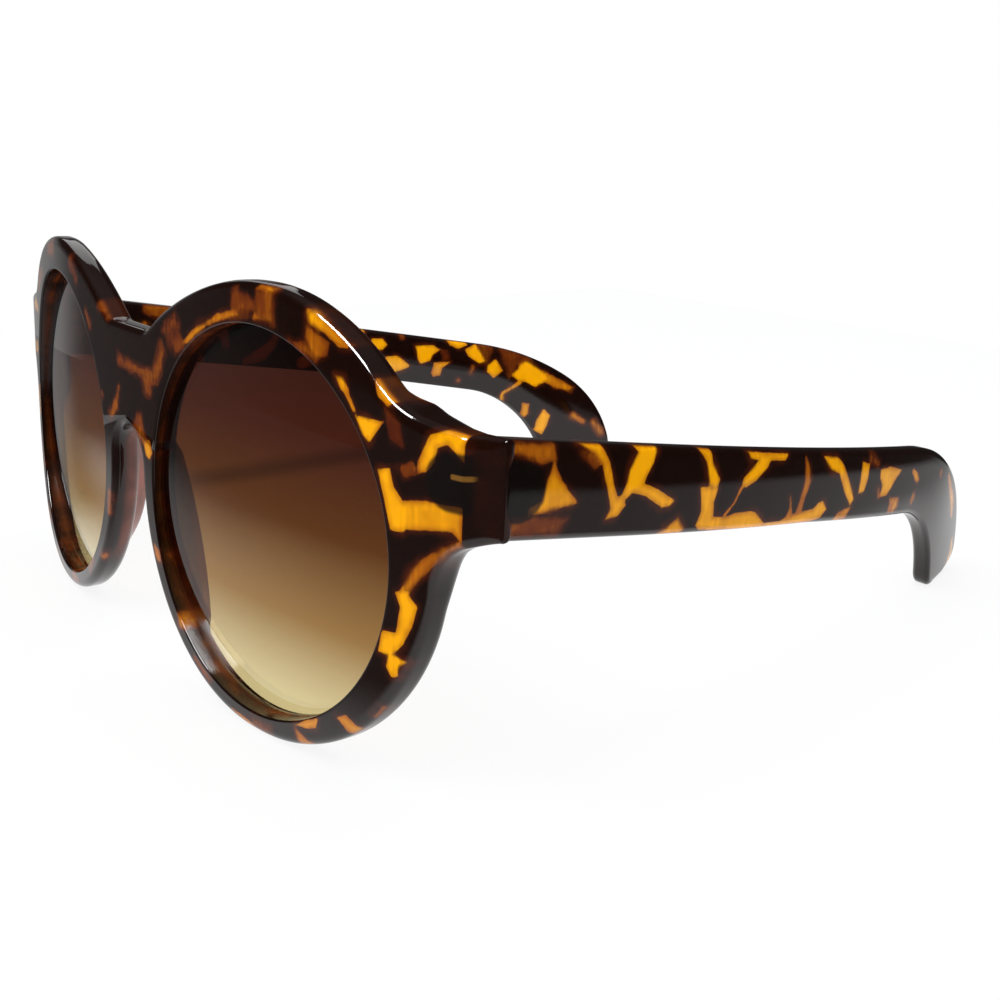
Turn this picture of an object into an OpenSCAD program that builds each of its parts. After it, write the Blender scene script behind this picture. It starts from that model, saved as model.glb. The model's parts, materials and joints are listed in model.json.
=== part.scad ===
// Round sunglasses: a moulded front with its own nose pads, two tinted lenses, two temples with
// hooked ends, and two three-eye hinges, each closed by one screw.
// The front is drawn upright: X to the wearer's left, Y backwards and Z up, from a point on the
// midline of its outer face at the height of the lens centres. rest() then lays the whole pair
// down, so that the rims and the temple tips stand on one level surface at Z = 0.

/* [Lenses] */
// Width of the round lens opening
lens_d = 52.2; // [48:0.1:55]
// Thickness of a lens
lens_t = 1.4; // [1:0.1:1.6]
// How far a lens lies behind the front's outer face at its middle height
lens_setback = 1.3; // [1:0.1:1.5]
// How deep a lens's edge reaches into the groove of its rim
groove_depth = 0.8; // [0.5:0.1:1.2]
// Play round a lens in its groove
lens_play = 0.05; // [0.03:0.01:0.1]

/* [Front] */
// Width over the end pieces, at the hinges
front_w = 148; // [144:0.5:152]
// Radius of the front's curve, seen from above
wrap_r = 265; // [230:5:320]
// Thickness of the front
front_t = 4.6; // [4.4:0.1:5.5]
// Distance between the two lens openings
bridge_w = 18.5; // [16:0.5:20]
// Mean width of a rim round its lens
rim_w = 4; // [3.4:0.1:4.4]
// How much wider than high a rim's outer outline is, on each side of its middle
rim_spread = 0.65; // [0.3:0.05:1]
// How far the rim's outer outline lies outwards of its lens
rim_out = 0.8; // [0.4:0.1:1.2]
// How far the rim's outer outline lies above its lens
rim_up = 1.35; // [0.8:0.05:1.8]

/* [Bridge] */
// Drop from the top of the rims to the top of the bridge
bridge_drop = 10; // [8:0.5:12]
// Height of the bridge on the midline
bridge_h = 15; // [13:0.5:17]
// Radius of the brow line that runs from a rim's top down to the bridge
brow_r = 60; // [50:1:80]
// Direction, from the rim's middle, at which the brow line leaves the rim
brow_angle = 100; // [96:1:106]

/* [Nose pads] */
// Direction of a pad's middle, seen from the middle of its rim
pad_angle = 202; // [196:1:208]
// Angle that a pad spans round its rim
pad_sweep = 62; // [54:1:66]
// How far a pad stands out behind the front
pad_depth = 2.7; // [2:0.1:3.4]
// Width of a pad where it leaves the rim
pad_root_w = 3.3; // [3:0.1:3.3]
// How far a pad leans in behind its lens
pad_lean = 4.7; // [4:0.1:5]
// Width of a pad's rear edge
pad_edge = 1.2; // [1:0.1:1.6]
// Radius of a pad's curve from its upper end to its lower end
pad_curve_r = 40; // [36:1:50]

/* [End pieces] */
// Height of the hinges above the lens centres
hinge_up = 12; // [10:0.5:13]
// Distance from the front's foremost point back to the temple seams
seam_back = 14; // [13.5:0.1:15]
// Width of the slanted corner between the front's face and the seam
corner_w = 2.4; // [1.5:0.1:3.5]
// Width of the thick block that holds a hinge, measured in from the front's full width
block_w = 12; // [11:0.1:14]
// Fall of the end piece's upper edge towards the hinge, in degrees
end_fall = 8; // [4:1:12]
// Rise of the end piece's lower edge towards the hinge, in degrees
end_rise = 6; // [3:1:9]
// Radius between a rim and the upper edge of its end piece
top_fillet_r = 12; // [8:0.5:14]
// Radius between a rim and the lower edge of its end piece
low_fillet_r = 8; // [6:0.5:10]

/* [Temples] */
// Height of a temple at its hinge
temple_h = 11.7; // [11:0.1:12.5]
// Thickness of a temple
temple_t = 4; // [3.6:0.1:4.6]
// Fall of the open temples from the front's square, in degrees
temple_drop = 7.8; // [5:0.2:10]
// Gap between the front and an open temple
seam_gap = 0.15; // [0.1:0.01:0.3]
// Length of the first straight part of a temple
straight_l = 19; // [15:1:24]
// Inward heading of the first straight part, in degrees
first_heading = 1.5; // [0:0.5:3]
// Inward heading of the last straight part, in degrees
last_heading = 19; // [16:0.5:21]
// Radius of the temple's inward curve
side_curve_r = 338; // [320:2:360]
// Distance from the seam to the temple's waist
waist_l = 60; // [50:1:70]
// How much the waist is drawn in from below
waist_cut = 0.65; // [0:0.05:1]
// Distance from the seam to the start of the hook's upper curve
hook_l = 97; // [90:1:104]
// Distance from the start of the hook's upper curve back to the start of its lower curve
hook_lead = 2; // [0:0.5:4]
// Radius of the first stretch of the hook's upper curve
hook_r = 52; // [46:1:58]
// Turn of the first stretch of the hook's upper curve, in degrees
hook_turn = 25; // [20:1:30]
// Radius of the second stretch of the hook's upper curve
hook_end_r = 26; // [24:1:28]
// Slope at which the hook's upper curve ends, in degrees
hook_slope = 70; // [66:1:74]
// Radius of the hook's lower curve
hook_low_r = 24; // [22:1:26]
// Slope of the cut end of the hook, in degrees
tip_slope = 16; // [12:1:20]
// Radius of the two corners of the cut end
tip_r = 3; // [2.5:0.1:3.5]

/* [Hinges] */
// Radius of a hinge screw
screw_r = 0.7; // [0.6:0.05:0.8]
// Running play round the screw in the temple's eye
pin_play = 0.05; // [0.03:0.01:0.08]
// Play round the screw in the front's eyes, and of the hinge leaves in their pockets
fixed_play = 0.02; // [0.01:0.01:0.03]
// Radius of a hinge eye
eye_r = 1.35; // [1.25:0.05:1.45]
// Height of one hinge eye
eye_h = 2; // [1.8:0.1:2.2]
// Gap between neighbouring eyes
eye_gap = 0.1; // [0.08:0.01:0.15]
// Distance from a temple's inner face to its hinge axis
axis_in = 2; // [1.8:0.1:2.2]
// Distance from the seam back to the hinge axis
axis_back = 1.65; // [1.6:0.05:1.8]
// Width of the web that joins an eye to its leaf
web_w = 1.5; // [1.2:0.1:1.8]
// Height of the plates of both leaves
leaf_h = 7; // [6.6:0.1:7.4]
// Width of the front leaf's plate, sunk in the end piece
front_leaf_w = 5.6; // [5.2:0.1:5.8]
// Depth of the front leaf's plate
front_leaf_t = 2; // [1.6:0.1:2.4]
// Length of the temple leaf's plate, sunk in the temple
temple_leaf_l = 5.4; // [4.8:0.1:6]
// Depth of the temple leaf's plate
temple_leaf_t = 1.2; // [1:0.1:1.6]
// Radius of a screw's head
head_r = 1.15; // [1.05:0.05:1.25]
// Height of a screw's head
head_h = 0.6; // [0.5:0.05:0.7]
// Width of the slot in a screw's head
slot_w = 0.3; // [0.25:0.05:0.4]

/* [Hidden] */

$fn = 96;
// Facets of the large curves that the exact solids replace by true ones
large_fn = 360;
// Points on each drawn arc of a temple's outline
arc_steps = 10;
// A length that reaches past everything that it cuts
past = 60;
// How far a shape runs into the one that it joins
joined = 0.5;

shell_colour = [0.24, 0.13, 0.06];
lens_colour = [0.45, 0.28, 0.16, 0.6];
metal_colour = [0.72, 0.7, 0.66];

lens_r = lens_d / 2;
lens_x = (bridge_w + lens_d) / 2;
// Turn of a lens about the middle of the front's curve
lens_turn = asin(lens_x / wrap_r);

rim_r = lens_r + rim_w;
rim_x = lens_x + rim_out;
rim_top = rim_up + rim_r;
inner_rim_centre = [rim_x - rim_spread, rim_up];
outer_rim_centre = [rim_x + rim_spread, rim_up];

bridge_top = rim_top - bridge_drop;
// The arch over the nose just touches both rims
arch_r = rim_x - rim_spread - rim_r;
arch_z = bridge_top - bridge_h - arch_r;

half_w = front_w / 2;
block_x = half_w - block_w;
seam_corner = [half_w, seam_back];

function on_circle(c, r, a) = [c[0] + r * cos(a), c[1] + r * sin(a)];
function arc(c, r, a0, a1) = [for (i = [0:arc_steps]) on_circle(c, r, a0 + (a1 - a0) * i / arc_steps)];
function direction(a) = [cos(a), sin(a)];
function left_of(a) = [-sin(a), cos(a)];

// Depth of the front's outer face at a distance from the midline
function face_y(x, back = 0) = wrap_r - sqrt(pow(wrap_r - back, 2) - x * x);

// The slanted corner runs from the seam to the face, and on as far again
face_corner = [half_w - corner_w, face_y(half_w - corner_w)];
slant_start = 2 * face_corner - seam_corner;

// Centre of a circle of radius f that touches the circle (c, r) from outside, on its +X side, and
// the line through p at the angle a, from the left of the line or, with side = -1, from its right
function touching(c, r, p, a, f, side) =
    let (q = p + side * f * left_of(a))
    let (b = (q - c) * direction(a))
    q + (-b + sqrt(b * b - (q - c) * (q - c) + pow(r + f, 2))) * direction(a);

// The temple's side outline, along the temple (first value) and up (second value)
top_curve_centre = [hook_l, temple_h / 2 - waist_cut - hook_r];
top_end_centre = on_circle(top_curve_centre, hook_r - hook_end_r, 90 - hook_turn);
back_tip_centre = on_circle(top_end_centre, hook_end_r - tip_r, 90 - hook_slope);
low_curve_centre = [hook_l - hook_lead, -temple_h / 2 - hook_low_r];
front_tip_centre = touching(low_curve_centre, hook_low_r,
    on_circle(back_tip_centre, tip_r, tip_slope - 90), tip_slope, tip_r, 1);
front_tip_reach = front_tip_centre - low_curve_centre;
front_tip_angle = atan2(front_tip_reach[1], front_tip_reach[0]);

temple_outline = concat(
    [[-temple_h, temple_h / 2], [0, temple_h / 2]],
    arc(top_curve_centre, hook_r, 90, 90 - hook_turn),
    arc(top_end_centre, hook_end_r, 90 - hook_turn, 90 - hook_slope),
    arc(back_tip_centre, tip_r, 90 - hook_slope, tip_slope - 90),
    arc(front_tip_centre, tip_r, tip_slope - 90, front_tip_angle - 180),
    arc(low_curve_centre, hook_low_r, front_tip_angle, 90),
    [[waist_l, waist_cut - temple_h / 2], [0, -temple_h / 2], [-temple_h, -temple_h / 2]]);

// The temple's plan: a straight part, an inward curve and a second straight part
first_end = straight_l * [-sin(first_heading), cos(first_heading)];
side_curve_centre = first_end - side_curve_r * [cos(first_heading), sin(first_heading)];
last_start = on_circle(side_curve_centre, side_curve_r, last_heading);

hinge_x = half_w - temple_t - axis_in;
hinge_y = seam_back + axis_back;
eye_pitch = eye_h + eye_gap;
screw_top = hinge_up + eye_pitch + eye_h / 2;

// The front leans back until the rims' lower rear edges and the temple tips are level
tip_y = seam_back + front_tip_centre * [cos(temple_drop), sin(temple_drop)];
tip_z = hinge_up + front_tip_centre * [-sin(temple_drop), cos(temple_drop)];
foot_y = face_y(rim_x, front_t);
foot_z = rim_up - rim_r;
foot_to_tip = [tip_y - foot_y, tip_z - foot_z];
lean = acos(tip_r / norm(foot_to_tip)) - atan2(foot_to_tip[0], foot_to_tip[1]);
lift = foot_y * sin(lean) - foot_z * cos(lean);
// The hook's rear and the lower rims bound the pair from back to front
rear_y = seam_back * cos(lean) + hinge_up * sin(lean) + tip_r
    + back_tip_centre * [cos(temple_drop + lean), sin(temple_drop + lean)];
pad_side_x = 12;
fore_y = face_y(pad_side_x) * cos(lean)
    + (rim_up - sqrt(rim_r * rim_r - pow(inner_rim_centre[0] - pad_side_x, 2))) * sin(lean);

module rest() {
    translate([0, -(rear_y + fore_y) / 2, lift]) rotate([-lean, 0, 0]) children();
}

module right_side() {
    mirror([1, 0, 0]) children();
}

module both_sides() {
    children();
    right_side() children();
}

// Draws along Y what is drawn flat in X and Z, from the front's fore side to its rear
module through_front(length = past, start = -past / 2) {
    translate([0, start + length, 0]) rotate([90, 0, 0]) linear_extrude(length) children();
}

// Turns a shape about the curve's middle, from the midline to the left lens
module at_lens() {
    translate([0, wrap_r, 0]) rotate([0, 0, lens_turn]) translate([0, -wrap_r, 0]) children();
}

module rim_outline() {
    translate(inner_rim_centre) circle(rim_r);
    translate(outer_rim_centre) circle(rim_r);
    translate([rim_x, rim_up]) square([2 * rim_spread, 2 * rim_r], center = true);
}

module bridge_outline() {
    brow_end = on_circle(inner_rim_centre, rim_r, brow_angle);
    difference() {
        union() {
            translate([0, arch_z]) square([lens_x, bridge_top - arch_z]);
            intersection() {
                translate(on_circle(inner_rim_centre, rim_r - brow_r, brow_angle))
                    circle(brow_r, $fn = large_fn);
                translate([0, arch_z]) square([brow_end[0], brow_end[1] - arch_z]);
            }
        }
        translate([0, arch_z]) circle(arch_r);
    }
}

// The space behind the face's curve, seen from above
module behind_face() {
    translate([0, wrap_r]) circle(wrap_r, $fn = large_fn);
}

// The front's plan on the left side. The slanted corner runs on past the face, and the face's own
// curve then cuts it.
module band_plan() {
    difference() {
        intersection() {
            behind_face();
            polygon([[0, -joined], [slant_start[0], -joined], slant_start, seam_corner, [0, seam_back]]);
        }
        translate([0, wrap_r]) circle(wrap_r - front_t, $fn = large_fn);
    }
}

// The plan of the thicker block that holds the hinge. Its inner side slopes out of the band.
module block_plan() {
    intersection() {
        behind_face();
        polygon([[block_x - seam_back, 0], [slant_start[0], 0], slant_start, seam_corner,
            [block_x, seam_back]]);
    }
}

module upright() {
    translate([0, 0, -past]) linear_extrude(2 * past) children();
}

// The end piece runs into the rim through a hollow circle above and another below
module end_piece() {
    top = [half_w, hinge_up + temple_h / 2];
    low = [half_w, hinge_up - temple_h / 2];
    top_centre = touching(outer_rim_centre, rim_r, top, -end_fall, top_fillet_r, 1);
    low_centre = touching(outer_rim_centre, rim_r, low, end_rise, low_fillet_r, -1);
    difference() {
        intersection() {
            upright() {
                band_plan();
                block_plan();
            }
            through_front() polygon([outer_rim_centre, low_centre,
                low_centre + low_fillet_r * left_of(end_rise), low + corner_w * direction(end_rise),
                top + corner_w * direction(-end_fall), top_centre - top_fillet_r * left_of(-end_fall),
                top_centre]);
        }
        through_front() translate(top_centre) circle(top_fillet_r);
        through_front() translate(low_centre) circle(low_fillet_r);
    }
}

// A shell between two spheres about the middle of the front's curve, cut to a round disc
module lens_disc(r, t, front) {
    intersection() {
        difference() {
            translate([0, wrap_r, 0]) sphere(wrap_r - front, $fn = large_fn);
            translate([0, wrap_r, 0]) sphere(wrap_r - front - t, $fn = large_fn);
        }
        through_front() circle(r);
    }
}

module lens() {
    at_lens() lens_disc(lens_r + groove_depth, lens_t, lens_setback);
}

module lens_space() {
    at_lens() {
        through_front() circle(lens_r);
        lens_disc(lens_r + groove_depth + lens_play, lens_t + 2 * lens_play, lens_setback - lens_play);
    }
}

// A wedge that leans in behind the lens, cut by a sphere so that it runs out at both ends
module nose_pad() {
    rear = front_t + pad_depth;
    peak_r = rim_r - pad_lean;
    section = [[rim_r - pad_root_w, front_t - joined], [rim_r, front_t - joined], [rim_r, front_t],
        [peak_r + pad_edge, rear], [peak_r, rear], [peak_r, rear - pad_edge]];
    translate([inner_rim_centre[0], 0, inner_rim_centre[1]]) intersection() {
        rotate([-90, 0, 0]) rotate([0, 0, -pad_angle - pad_sweep / 2])
            rotate_extrude(angle = pad_sweep) polygon(section);
        translate([peak_r * cos(pad_angle), rear - pad_curve_r, peak_r * sin(pad_angle)])
            sphere(pad_curve_r);
    }
}

// A hinge plate's outline, straight at one end and round at the other, with play added all round
module leaf_outline(length, play) {
    r = leaf_h / 2 + play;
    intersection() {
        union() {
            translate([length - leaf_h / 2, 0]) circle(r);
            translate([-play, -r]) square([length - leaf_h / 2 + play, 2 * r]);
        }
        translate([-play, -r]) square([length + 2 * play, 2 * r]);
    }
}

// The front leaf's plate, round on its inner side
module front_plate(play) {
    through_front(front_leaf_t + play, seam_back - front_leaf_t - play)
        translate([hinge_x + eye_r, hinge_up]) mirror([1, 0]) leaf_outline(front_leaf_w, play);
}

// The temple leaf's plate, round at its rear, flush with the temple's inner face
module temple_plate(play) {
    at_temple() rotate([0, 0, first_heading]) translate([-temple_t, axis_back - web_w / 2, 0])
        rotate([90, 0, 90]) linear_extrude(temple_leaf_t + play) leaf_outline(temple_leaf_l, play);
}

module eye(level) {
    translate([hinge_x, hinge_y, hinge_up + level * eye_pitch])
        cylinder(h = eye_h, r = eye_r, center = true);
}

module eye_bore(play) {
    translate([hinge_x, hinge_y, hinge_up]) cylinder(h = past, r = screw_r + play, center = true);
}

module at_temple() {
    translate([half_w, seam_back, hinge_up]) rotate([-temple_drop, 0, 0]) children();
}

module temple_plan() {
    along = [-sin(first_heading), cos(first_heading)];
    last_along = [-sin(last_heading), cos(last_heading)];
    first_across = temple_t * direction(first_heading);
    last_across = temple_t * direction(last_heading);
    start = -temple_h * along;
    end = last_start + past * last_along;
    polygon([start, first_end, first_end - first_across, start - first_across]);
    intersection() {
        difference() {
            translate(side_curve_centre) circle(side_curve_r, $fn = large_fn);
            translate(side_curve_centre) circle(side_curve_r - temple_t, $fn = large_fn);
        }
        polygon([side_curve_centre, side_curve_centre + 2 * side_curve_r * direction(first_heading),
            side_curve_centre + 2 * side_curve_r * direction(last_heading)]);
    }
    polygon([last_start, end, end - last_across, last_start - last_across]);
}

module front_frame() {
    color(shell_colour) difference() {
        union() {
            difference() {
                both_sides() {
                    intersection() {
                        upright() band_plan();
                        through_front() {
                            rim_outline();
                            bridge_outline();
                        }
                    }
                    end_piece();
                }
                both_sides() lens_space();
            }
            both_sides() nose_pad();
        }
        both_sides() front_plate(fixed_play);
    }
}

module front_hinge() {
    color(metal_colour) difference() {
        union() {
            front_plate(0);
            for (level = [-1, 1]) {
                eye(level);
                translate([hinge_x - web_w / 2, seam_back - front_leaf_t / 2,
                    hinge_up + level * eye_pitch - eye_h / 2])
                    cube([web_w, axis_back + front_leaf_t / 2, eye_h]);
            }
        }
        eye_bore(fixed_play);
    }
}

module temple_hinge() {
    color(metal_colour) difference() {
        union() {
            temple_plate(0);
            eye(0);
            translate([hinge_x, hinge_y - web_w / 2, hinge_up - eye_h / 2])
                cube([axis_in + temple_leaf_t / 2, web_w, eye_h]);
        }
        eye_bore(pin_play);
    }
}

module hinge_screw() {
    color(metal_colour) translate([hinge_x, hinge_y, screw_top]) difference() {
        union() {
            translate([0, 0, -3 * eye_h - 2 * eye_gap]) cylinder(h = 3 * eye_h + 2 * eye_gap, r = screw_r);
            cylinder(h = head_h, r = head_r);
        }
        translate([-past / 2, -slot_w / 2, head_h / 2]) cube([past, slot_w, head_h]);
    }
}

module temple() {
    color(shell_colour) difference() {
        at_temple() intersection() {
            translate([0, 0, -past / 2]) linear_extrude(past) temple_plan();
            translate([-past, 0, 0]) rotate([90, 0, 90]) linear_extrude(2 * past) polygon(temple_outline);
        }
        translate([0, seam_back + seam_gap - past, 0]) cube([2 * half_w, past, past]);
        temple_plate(fixed_play);
    }
}

rest() front_frame();
rest() color(lens_colour) lens();  // lens_left
rest() right_side() color(lens_colour) lens();  // lens_right
rest() front_hinge();  // front_hinge_left
rest() right_side() front_hinge();  // front_hinge_right
rest() hinge_screw();  // hinge_screw_left
rest() right_side() hinge_screw();  // hinge_screw_right
rest() temple();  // temple_left
rest() right_side() temple();  // temple_right
rest() temple_hinge();  // temple_hinge_left
rest() right_side() temple_hinge();  // temple_hinge_right
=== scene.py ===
"""Round tortoiseshell sunglasses: the moulded front, the two lenses, the two temples and the metal
of the hinges. Shapes are worked out in millimetres with the front upright, in the same sizes as the
CAD source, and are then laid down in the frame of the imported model, in metres."""
import json

import bmesh
import bpy
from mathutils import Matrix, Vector
import numpy as np
from bpy.props import FloatProperty, FloatVectorProperty, PointerProperty


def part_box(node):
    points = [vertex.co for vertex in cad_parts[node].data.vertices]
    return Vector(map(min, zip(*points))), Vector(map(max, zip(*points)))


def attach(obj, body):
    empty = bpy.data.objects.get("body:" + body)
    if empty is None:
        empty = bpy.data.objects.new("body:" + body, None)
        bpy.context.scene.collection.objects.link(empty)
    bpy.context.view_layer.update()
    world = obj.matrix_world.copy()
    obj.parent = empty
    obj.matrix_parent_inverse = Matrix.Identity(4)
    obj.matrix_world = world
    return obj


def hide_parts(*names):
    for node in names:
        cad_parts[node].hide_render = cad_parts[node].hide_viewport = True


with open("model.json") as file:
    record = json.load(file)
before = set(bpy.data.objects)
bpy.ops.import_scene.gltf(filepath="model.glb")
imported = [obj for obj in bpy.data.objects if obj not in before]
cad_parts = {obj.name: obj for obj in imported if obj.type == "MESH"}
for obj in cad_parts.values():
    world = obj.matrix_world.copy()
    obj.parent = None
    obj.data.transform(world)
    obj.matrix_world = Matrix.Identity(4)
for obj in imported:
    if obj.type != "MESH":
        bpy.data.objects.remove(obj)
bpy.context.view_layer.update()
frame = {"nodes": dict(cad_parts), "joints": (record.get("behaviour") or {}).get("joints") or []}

bl_info = {
    "name": "Round tortoiseshell sunglasses",
    "version": (1, 0, 0),
    "blender": (4, 5, 0),
    "location": "View3D > Sidebar > Sunglasses",
    "description": "Builds the front, lenses, temples and hinge finish round the packed model",
    "category": "Object",
}

MM = 0.001
WHITE = (1.0, 1.0, 1.0)
FLOOR_HALF = 0.32

# The camera: picture size, focal length and picture middle in pixels, place and turn in metres and
# degrees
IMAGE_SIZE = 1000
FOCAL = 1259.10
PICTURE_MIDDLE = (495.21, 459.39)
SENSOR = 36.0
CAMERA_PLACE = (0.17842774, -0.13926961, 0.07893003)
CAMERA_TURN = (75.42303, -1.16607, 52.58560)

# Lamps: name, place, target, size and power, and the kind of ray that they are hidden from
LAMPS = (
    ("key", (0.02, -0.35, 0.5), (0.0, 0.0, 0.03), (0.4, 0.3), 1.6, "glossy"),
    ("strip", (0.05, -0.31, 0.46), (0.03, -0.05, 0.03), (0.28, 0.11), 5.4, "diffuse"),
    ("corner", (-0.68, 0.2, 0.46), (-0.03, -0.07, 0.07), (0.34, 0.34), 0.36, "diffuse"),
    ("overhead", (0.0, 0.15, 0.8), (0.0, 0.02, 0.02), (0.5, 0.5), 2.2, "glossy"),
)


def length_mm(name, description, default):
    """A size in millimetres."""
    return FloatProperty(name=name, description=description, default=default, precision=3)


def colour(name, description, default):
    """A colour with linear values."""
    return FloatVectorProperty(name=name, description=description, default=default, size=3,
        subtype="COLOR", min=0.0, max=1.0)


class FrontSizes(bpy.types.PropertyGroup):
    """Sizes of the moulded front."""
    wrap_r: length_mm("Wrap radius", "Radius of the front's curve, seen from above", 265.0)
    thickness: length_mm("Thickness", "Thickness of the front", 4.6)
    face_edge: length_mm("Face edge", "Rounding of the outer edge of the face", 1.2)
    rear_edge: length_mm("Rear edge", "Rounding of the outer edge of the rear", 2.0)
    lip: length_mm("Lip", "Rounding of the two edges of a lens opening", 0.3)
    wall_crown: length_mm("Wall crown", "How far the outer wall bulges at half its depth", 0.12)
    pad_depth: length_mm("Pad depth", "How far a nose pad stands out behind the front", 2.7)
    corner: length_mm("Corner", "Rounding of the vertical corner of an end piece", 0.12)


class TempleSizes(bpy.types.PropertyGroup):
    """Sizes of a temple."""
    thickness: length_mm("Thickness", "Thickness of a temple", 4.0)
    edge: length_mm("Edge", "Rounding of the long edges", 1.1)
    end_edge: length_mm("End edge", "Rounding of the edges at the seam", 0.25)
    crown: length_mm("Crown", "How far the middle of a side stands out beyond its edges", 0.28)


class LensSizes(bpy.types.PropertyGroup):
    """Sizes of a lens."""
    opening_r: length_mm("Opening radius", "Radius of the round opening", 26.1)
    setback: length_mm("Setback", "How far the lens lies behind the face", 1.3)
    thickness: length_mm("Thickness", "Thickness of the lens", 1.4)
    groove: length_mm("Groove", "How far the lens reaches into its rim", 0.8)


class Colours(bpy.types.PropertyGroup):
    """Colours of the finishes."""
    shell_dark: colour("Dark shell", "The nearly black brown of the plastic", (0.0085, 0.0024, 0.0014))
    shell_brown: colour("Brown shell", "The red brown round the amber", (0.075, 0.011, 0.002))
    shell_rust: colour("Rust shell", "The dark orange of the dullest amber", (0.17, 0.034, 0.003))
    shell_amber: colour("Amber shell", "The orange brown of thin or deep amber", (0.42, 0.115, 0.0035))
    shell_gold: colour("Golden shell", "The brightest amber", (0.97, 0.41, 0.0015))
    # The pad colour is the red brown of the plastic, painted lighter for the light that shines through
    # the thin pads
    pad: colour("Pad", "Red brown of the thin nose pads, which let light through", (0.33, 0.095, 0.06))
    lens_top: colour("Lens top", "Tint at the top of a lens", (0.04, 0.011, 0.0075))
    lens_upper: colour("Lens upper", "Tint above the middle of a lens", (0.06, 0.0135, 0.0068))
    lens_middle: colour("Lens middle", "Tint at the middle of a lens", (0.115, 0.038, 0.0085))
    lens_lower: colour("Lens lower", "Tint below the middle of a lens", (0.34, 0.185, 0.058))
    lens_bottom: colour("Lens bottom", "Tint at the bottom of a lens", (0.72, 0.60, 0.29))
    steel: colour("Steel", "The metal of the hinges", (0.56, 0.53, 0.48))


# The front's plan and outline, with the sizes of the CAD source
LENS_X = 35.35
RIM_R = 30.1
INNER_RIM = np.array([35.5, 1.35])
OUTER_RIM = np.array([36.8, 1.35])
BRIDGE_TOP = 21.45
ARCH_R = 5.4
ARCH_Z = 1.05
BROW_R = 60.0
BROW_ANGLE = 100.0
HALF_W = 74.0
SEAM_Y = 14.0
CORNER_X = 71.6
SLANT = 4.0 / 2.4
HINGE_Z = 12.0
HINGE_Y = 15.65
TEMPLE_H = 11.7
TOP_FILLET_R = 12.0
LOW_FILLET_R = 8.0
END_FALL = 8.0
END_RISE = 6.0
JUNCTION_X = 67.2
JUNCTION_ANGLE = 135.0
BLOCK_X = 62.0
BLOCK_FADE = (-4.5, 6.0)
BLOCK_BLEND = 0.2
REAR_GAP = 0.03
END_GAP = 0.07
END_ROUND = 0.4
END_MIDDLE = 0.25
ARCH_END_ANGLE = 181.0
PAD_ANGLE = 202.0
PAD_PEAK_R = 25.4
PAD_EDGE = 1.2
PAD_CURVE_R = 40.0
PAD_FADE = 0.8
PAD_SLOPE_ARM = 0.7
PAD_EDGE_ARM = 0.45
PAD_UNDER_ARM = 0.3
PAD_UNDER_SHARE = 0.8
MOST_WAY = 0.45
EDGE_SHARE = 0.42
FULL_CROWN_DEPTH = 4.0
MIDLINE_FADE = 1.0
SEAM_FADE = 4.0
LEAST_COSINE = 0.3

# The temple's outline and plan
DROP = np.radians(7.8)
STRAIGHT = 19.0
FIRST_HEADING = 1.5
LAST_HEADING = 19.0
SIDE_R = 338.0
HOOK_A = 97.0
WAIST_A = 60.0
WAIST_CUT = 0.65
HOOK_R = 52.0
HOOK_TURN = 25.0
HOOK_END_R = 26.0
HOOK_SLOPE = 70.0
HOOK_LEAD = 2.0
HOOK_LOW_R = 24.0
TIP_SLOPE = 16.0
TIP_R = 3.0
SEAM_GAP = 0.15
FULL_CROWN_HEIGHT = 9.0

# Rows and columns of the surfaces: steps along an outline, rows of a rounding, and sections, with
# how often each outline is softened and how near to each other points are merged
STEP = 0.45
OVER_PASSES = 6
UNDER_PASSES = 3
TEMPLE_PASSES = 6
EDGE_ROWS = 7
LIP_ROWS = 4
WALL_ROWS = 3
FACE_ROWS = 12
REAR_ROWS = 22
PAD_ROWS = (4, 5, 5, 2)
MIDLINE_COLUMNS = 24
SEAM_COLUMNS = 30
END_SECTIONS = 15
FLAT_SECTIONS = 6
ROUND_SECTIONS = 8
CORNER_SECTIONS = (-0.6, -0.35, -0.2, -0.1, -0.04, 0, 0.04, 0.1, 0.2, 0.35, 0.6)
TEMPLE_WALL_ROWS = 2
TEMPLE_SIDE_ROWS = 26
CAP_RINGS = 6
LENS_RINGS = 36
LENS_COLUMNS = 144
MERGE_M = 2e-6
FLAT_M = 1e-6

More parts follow.
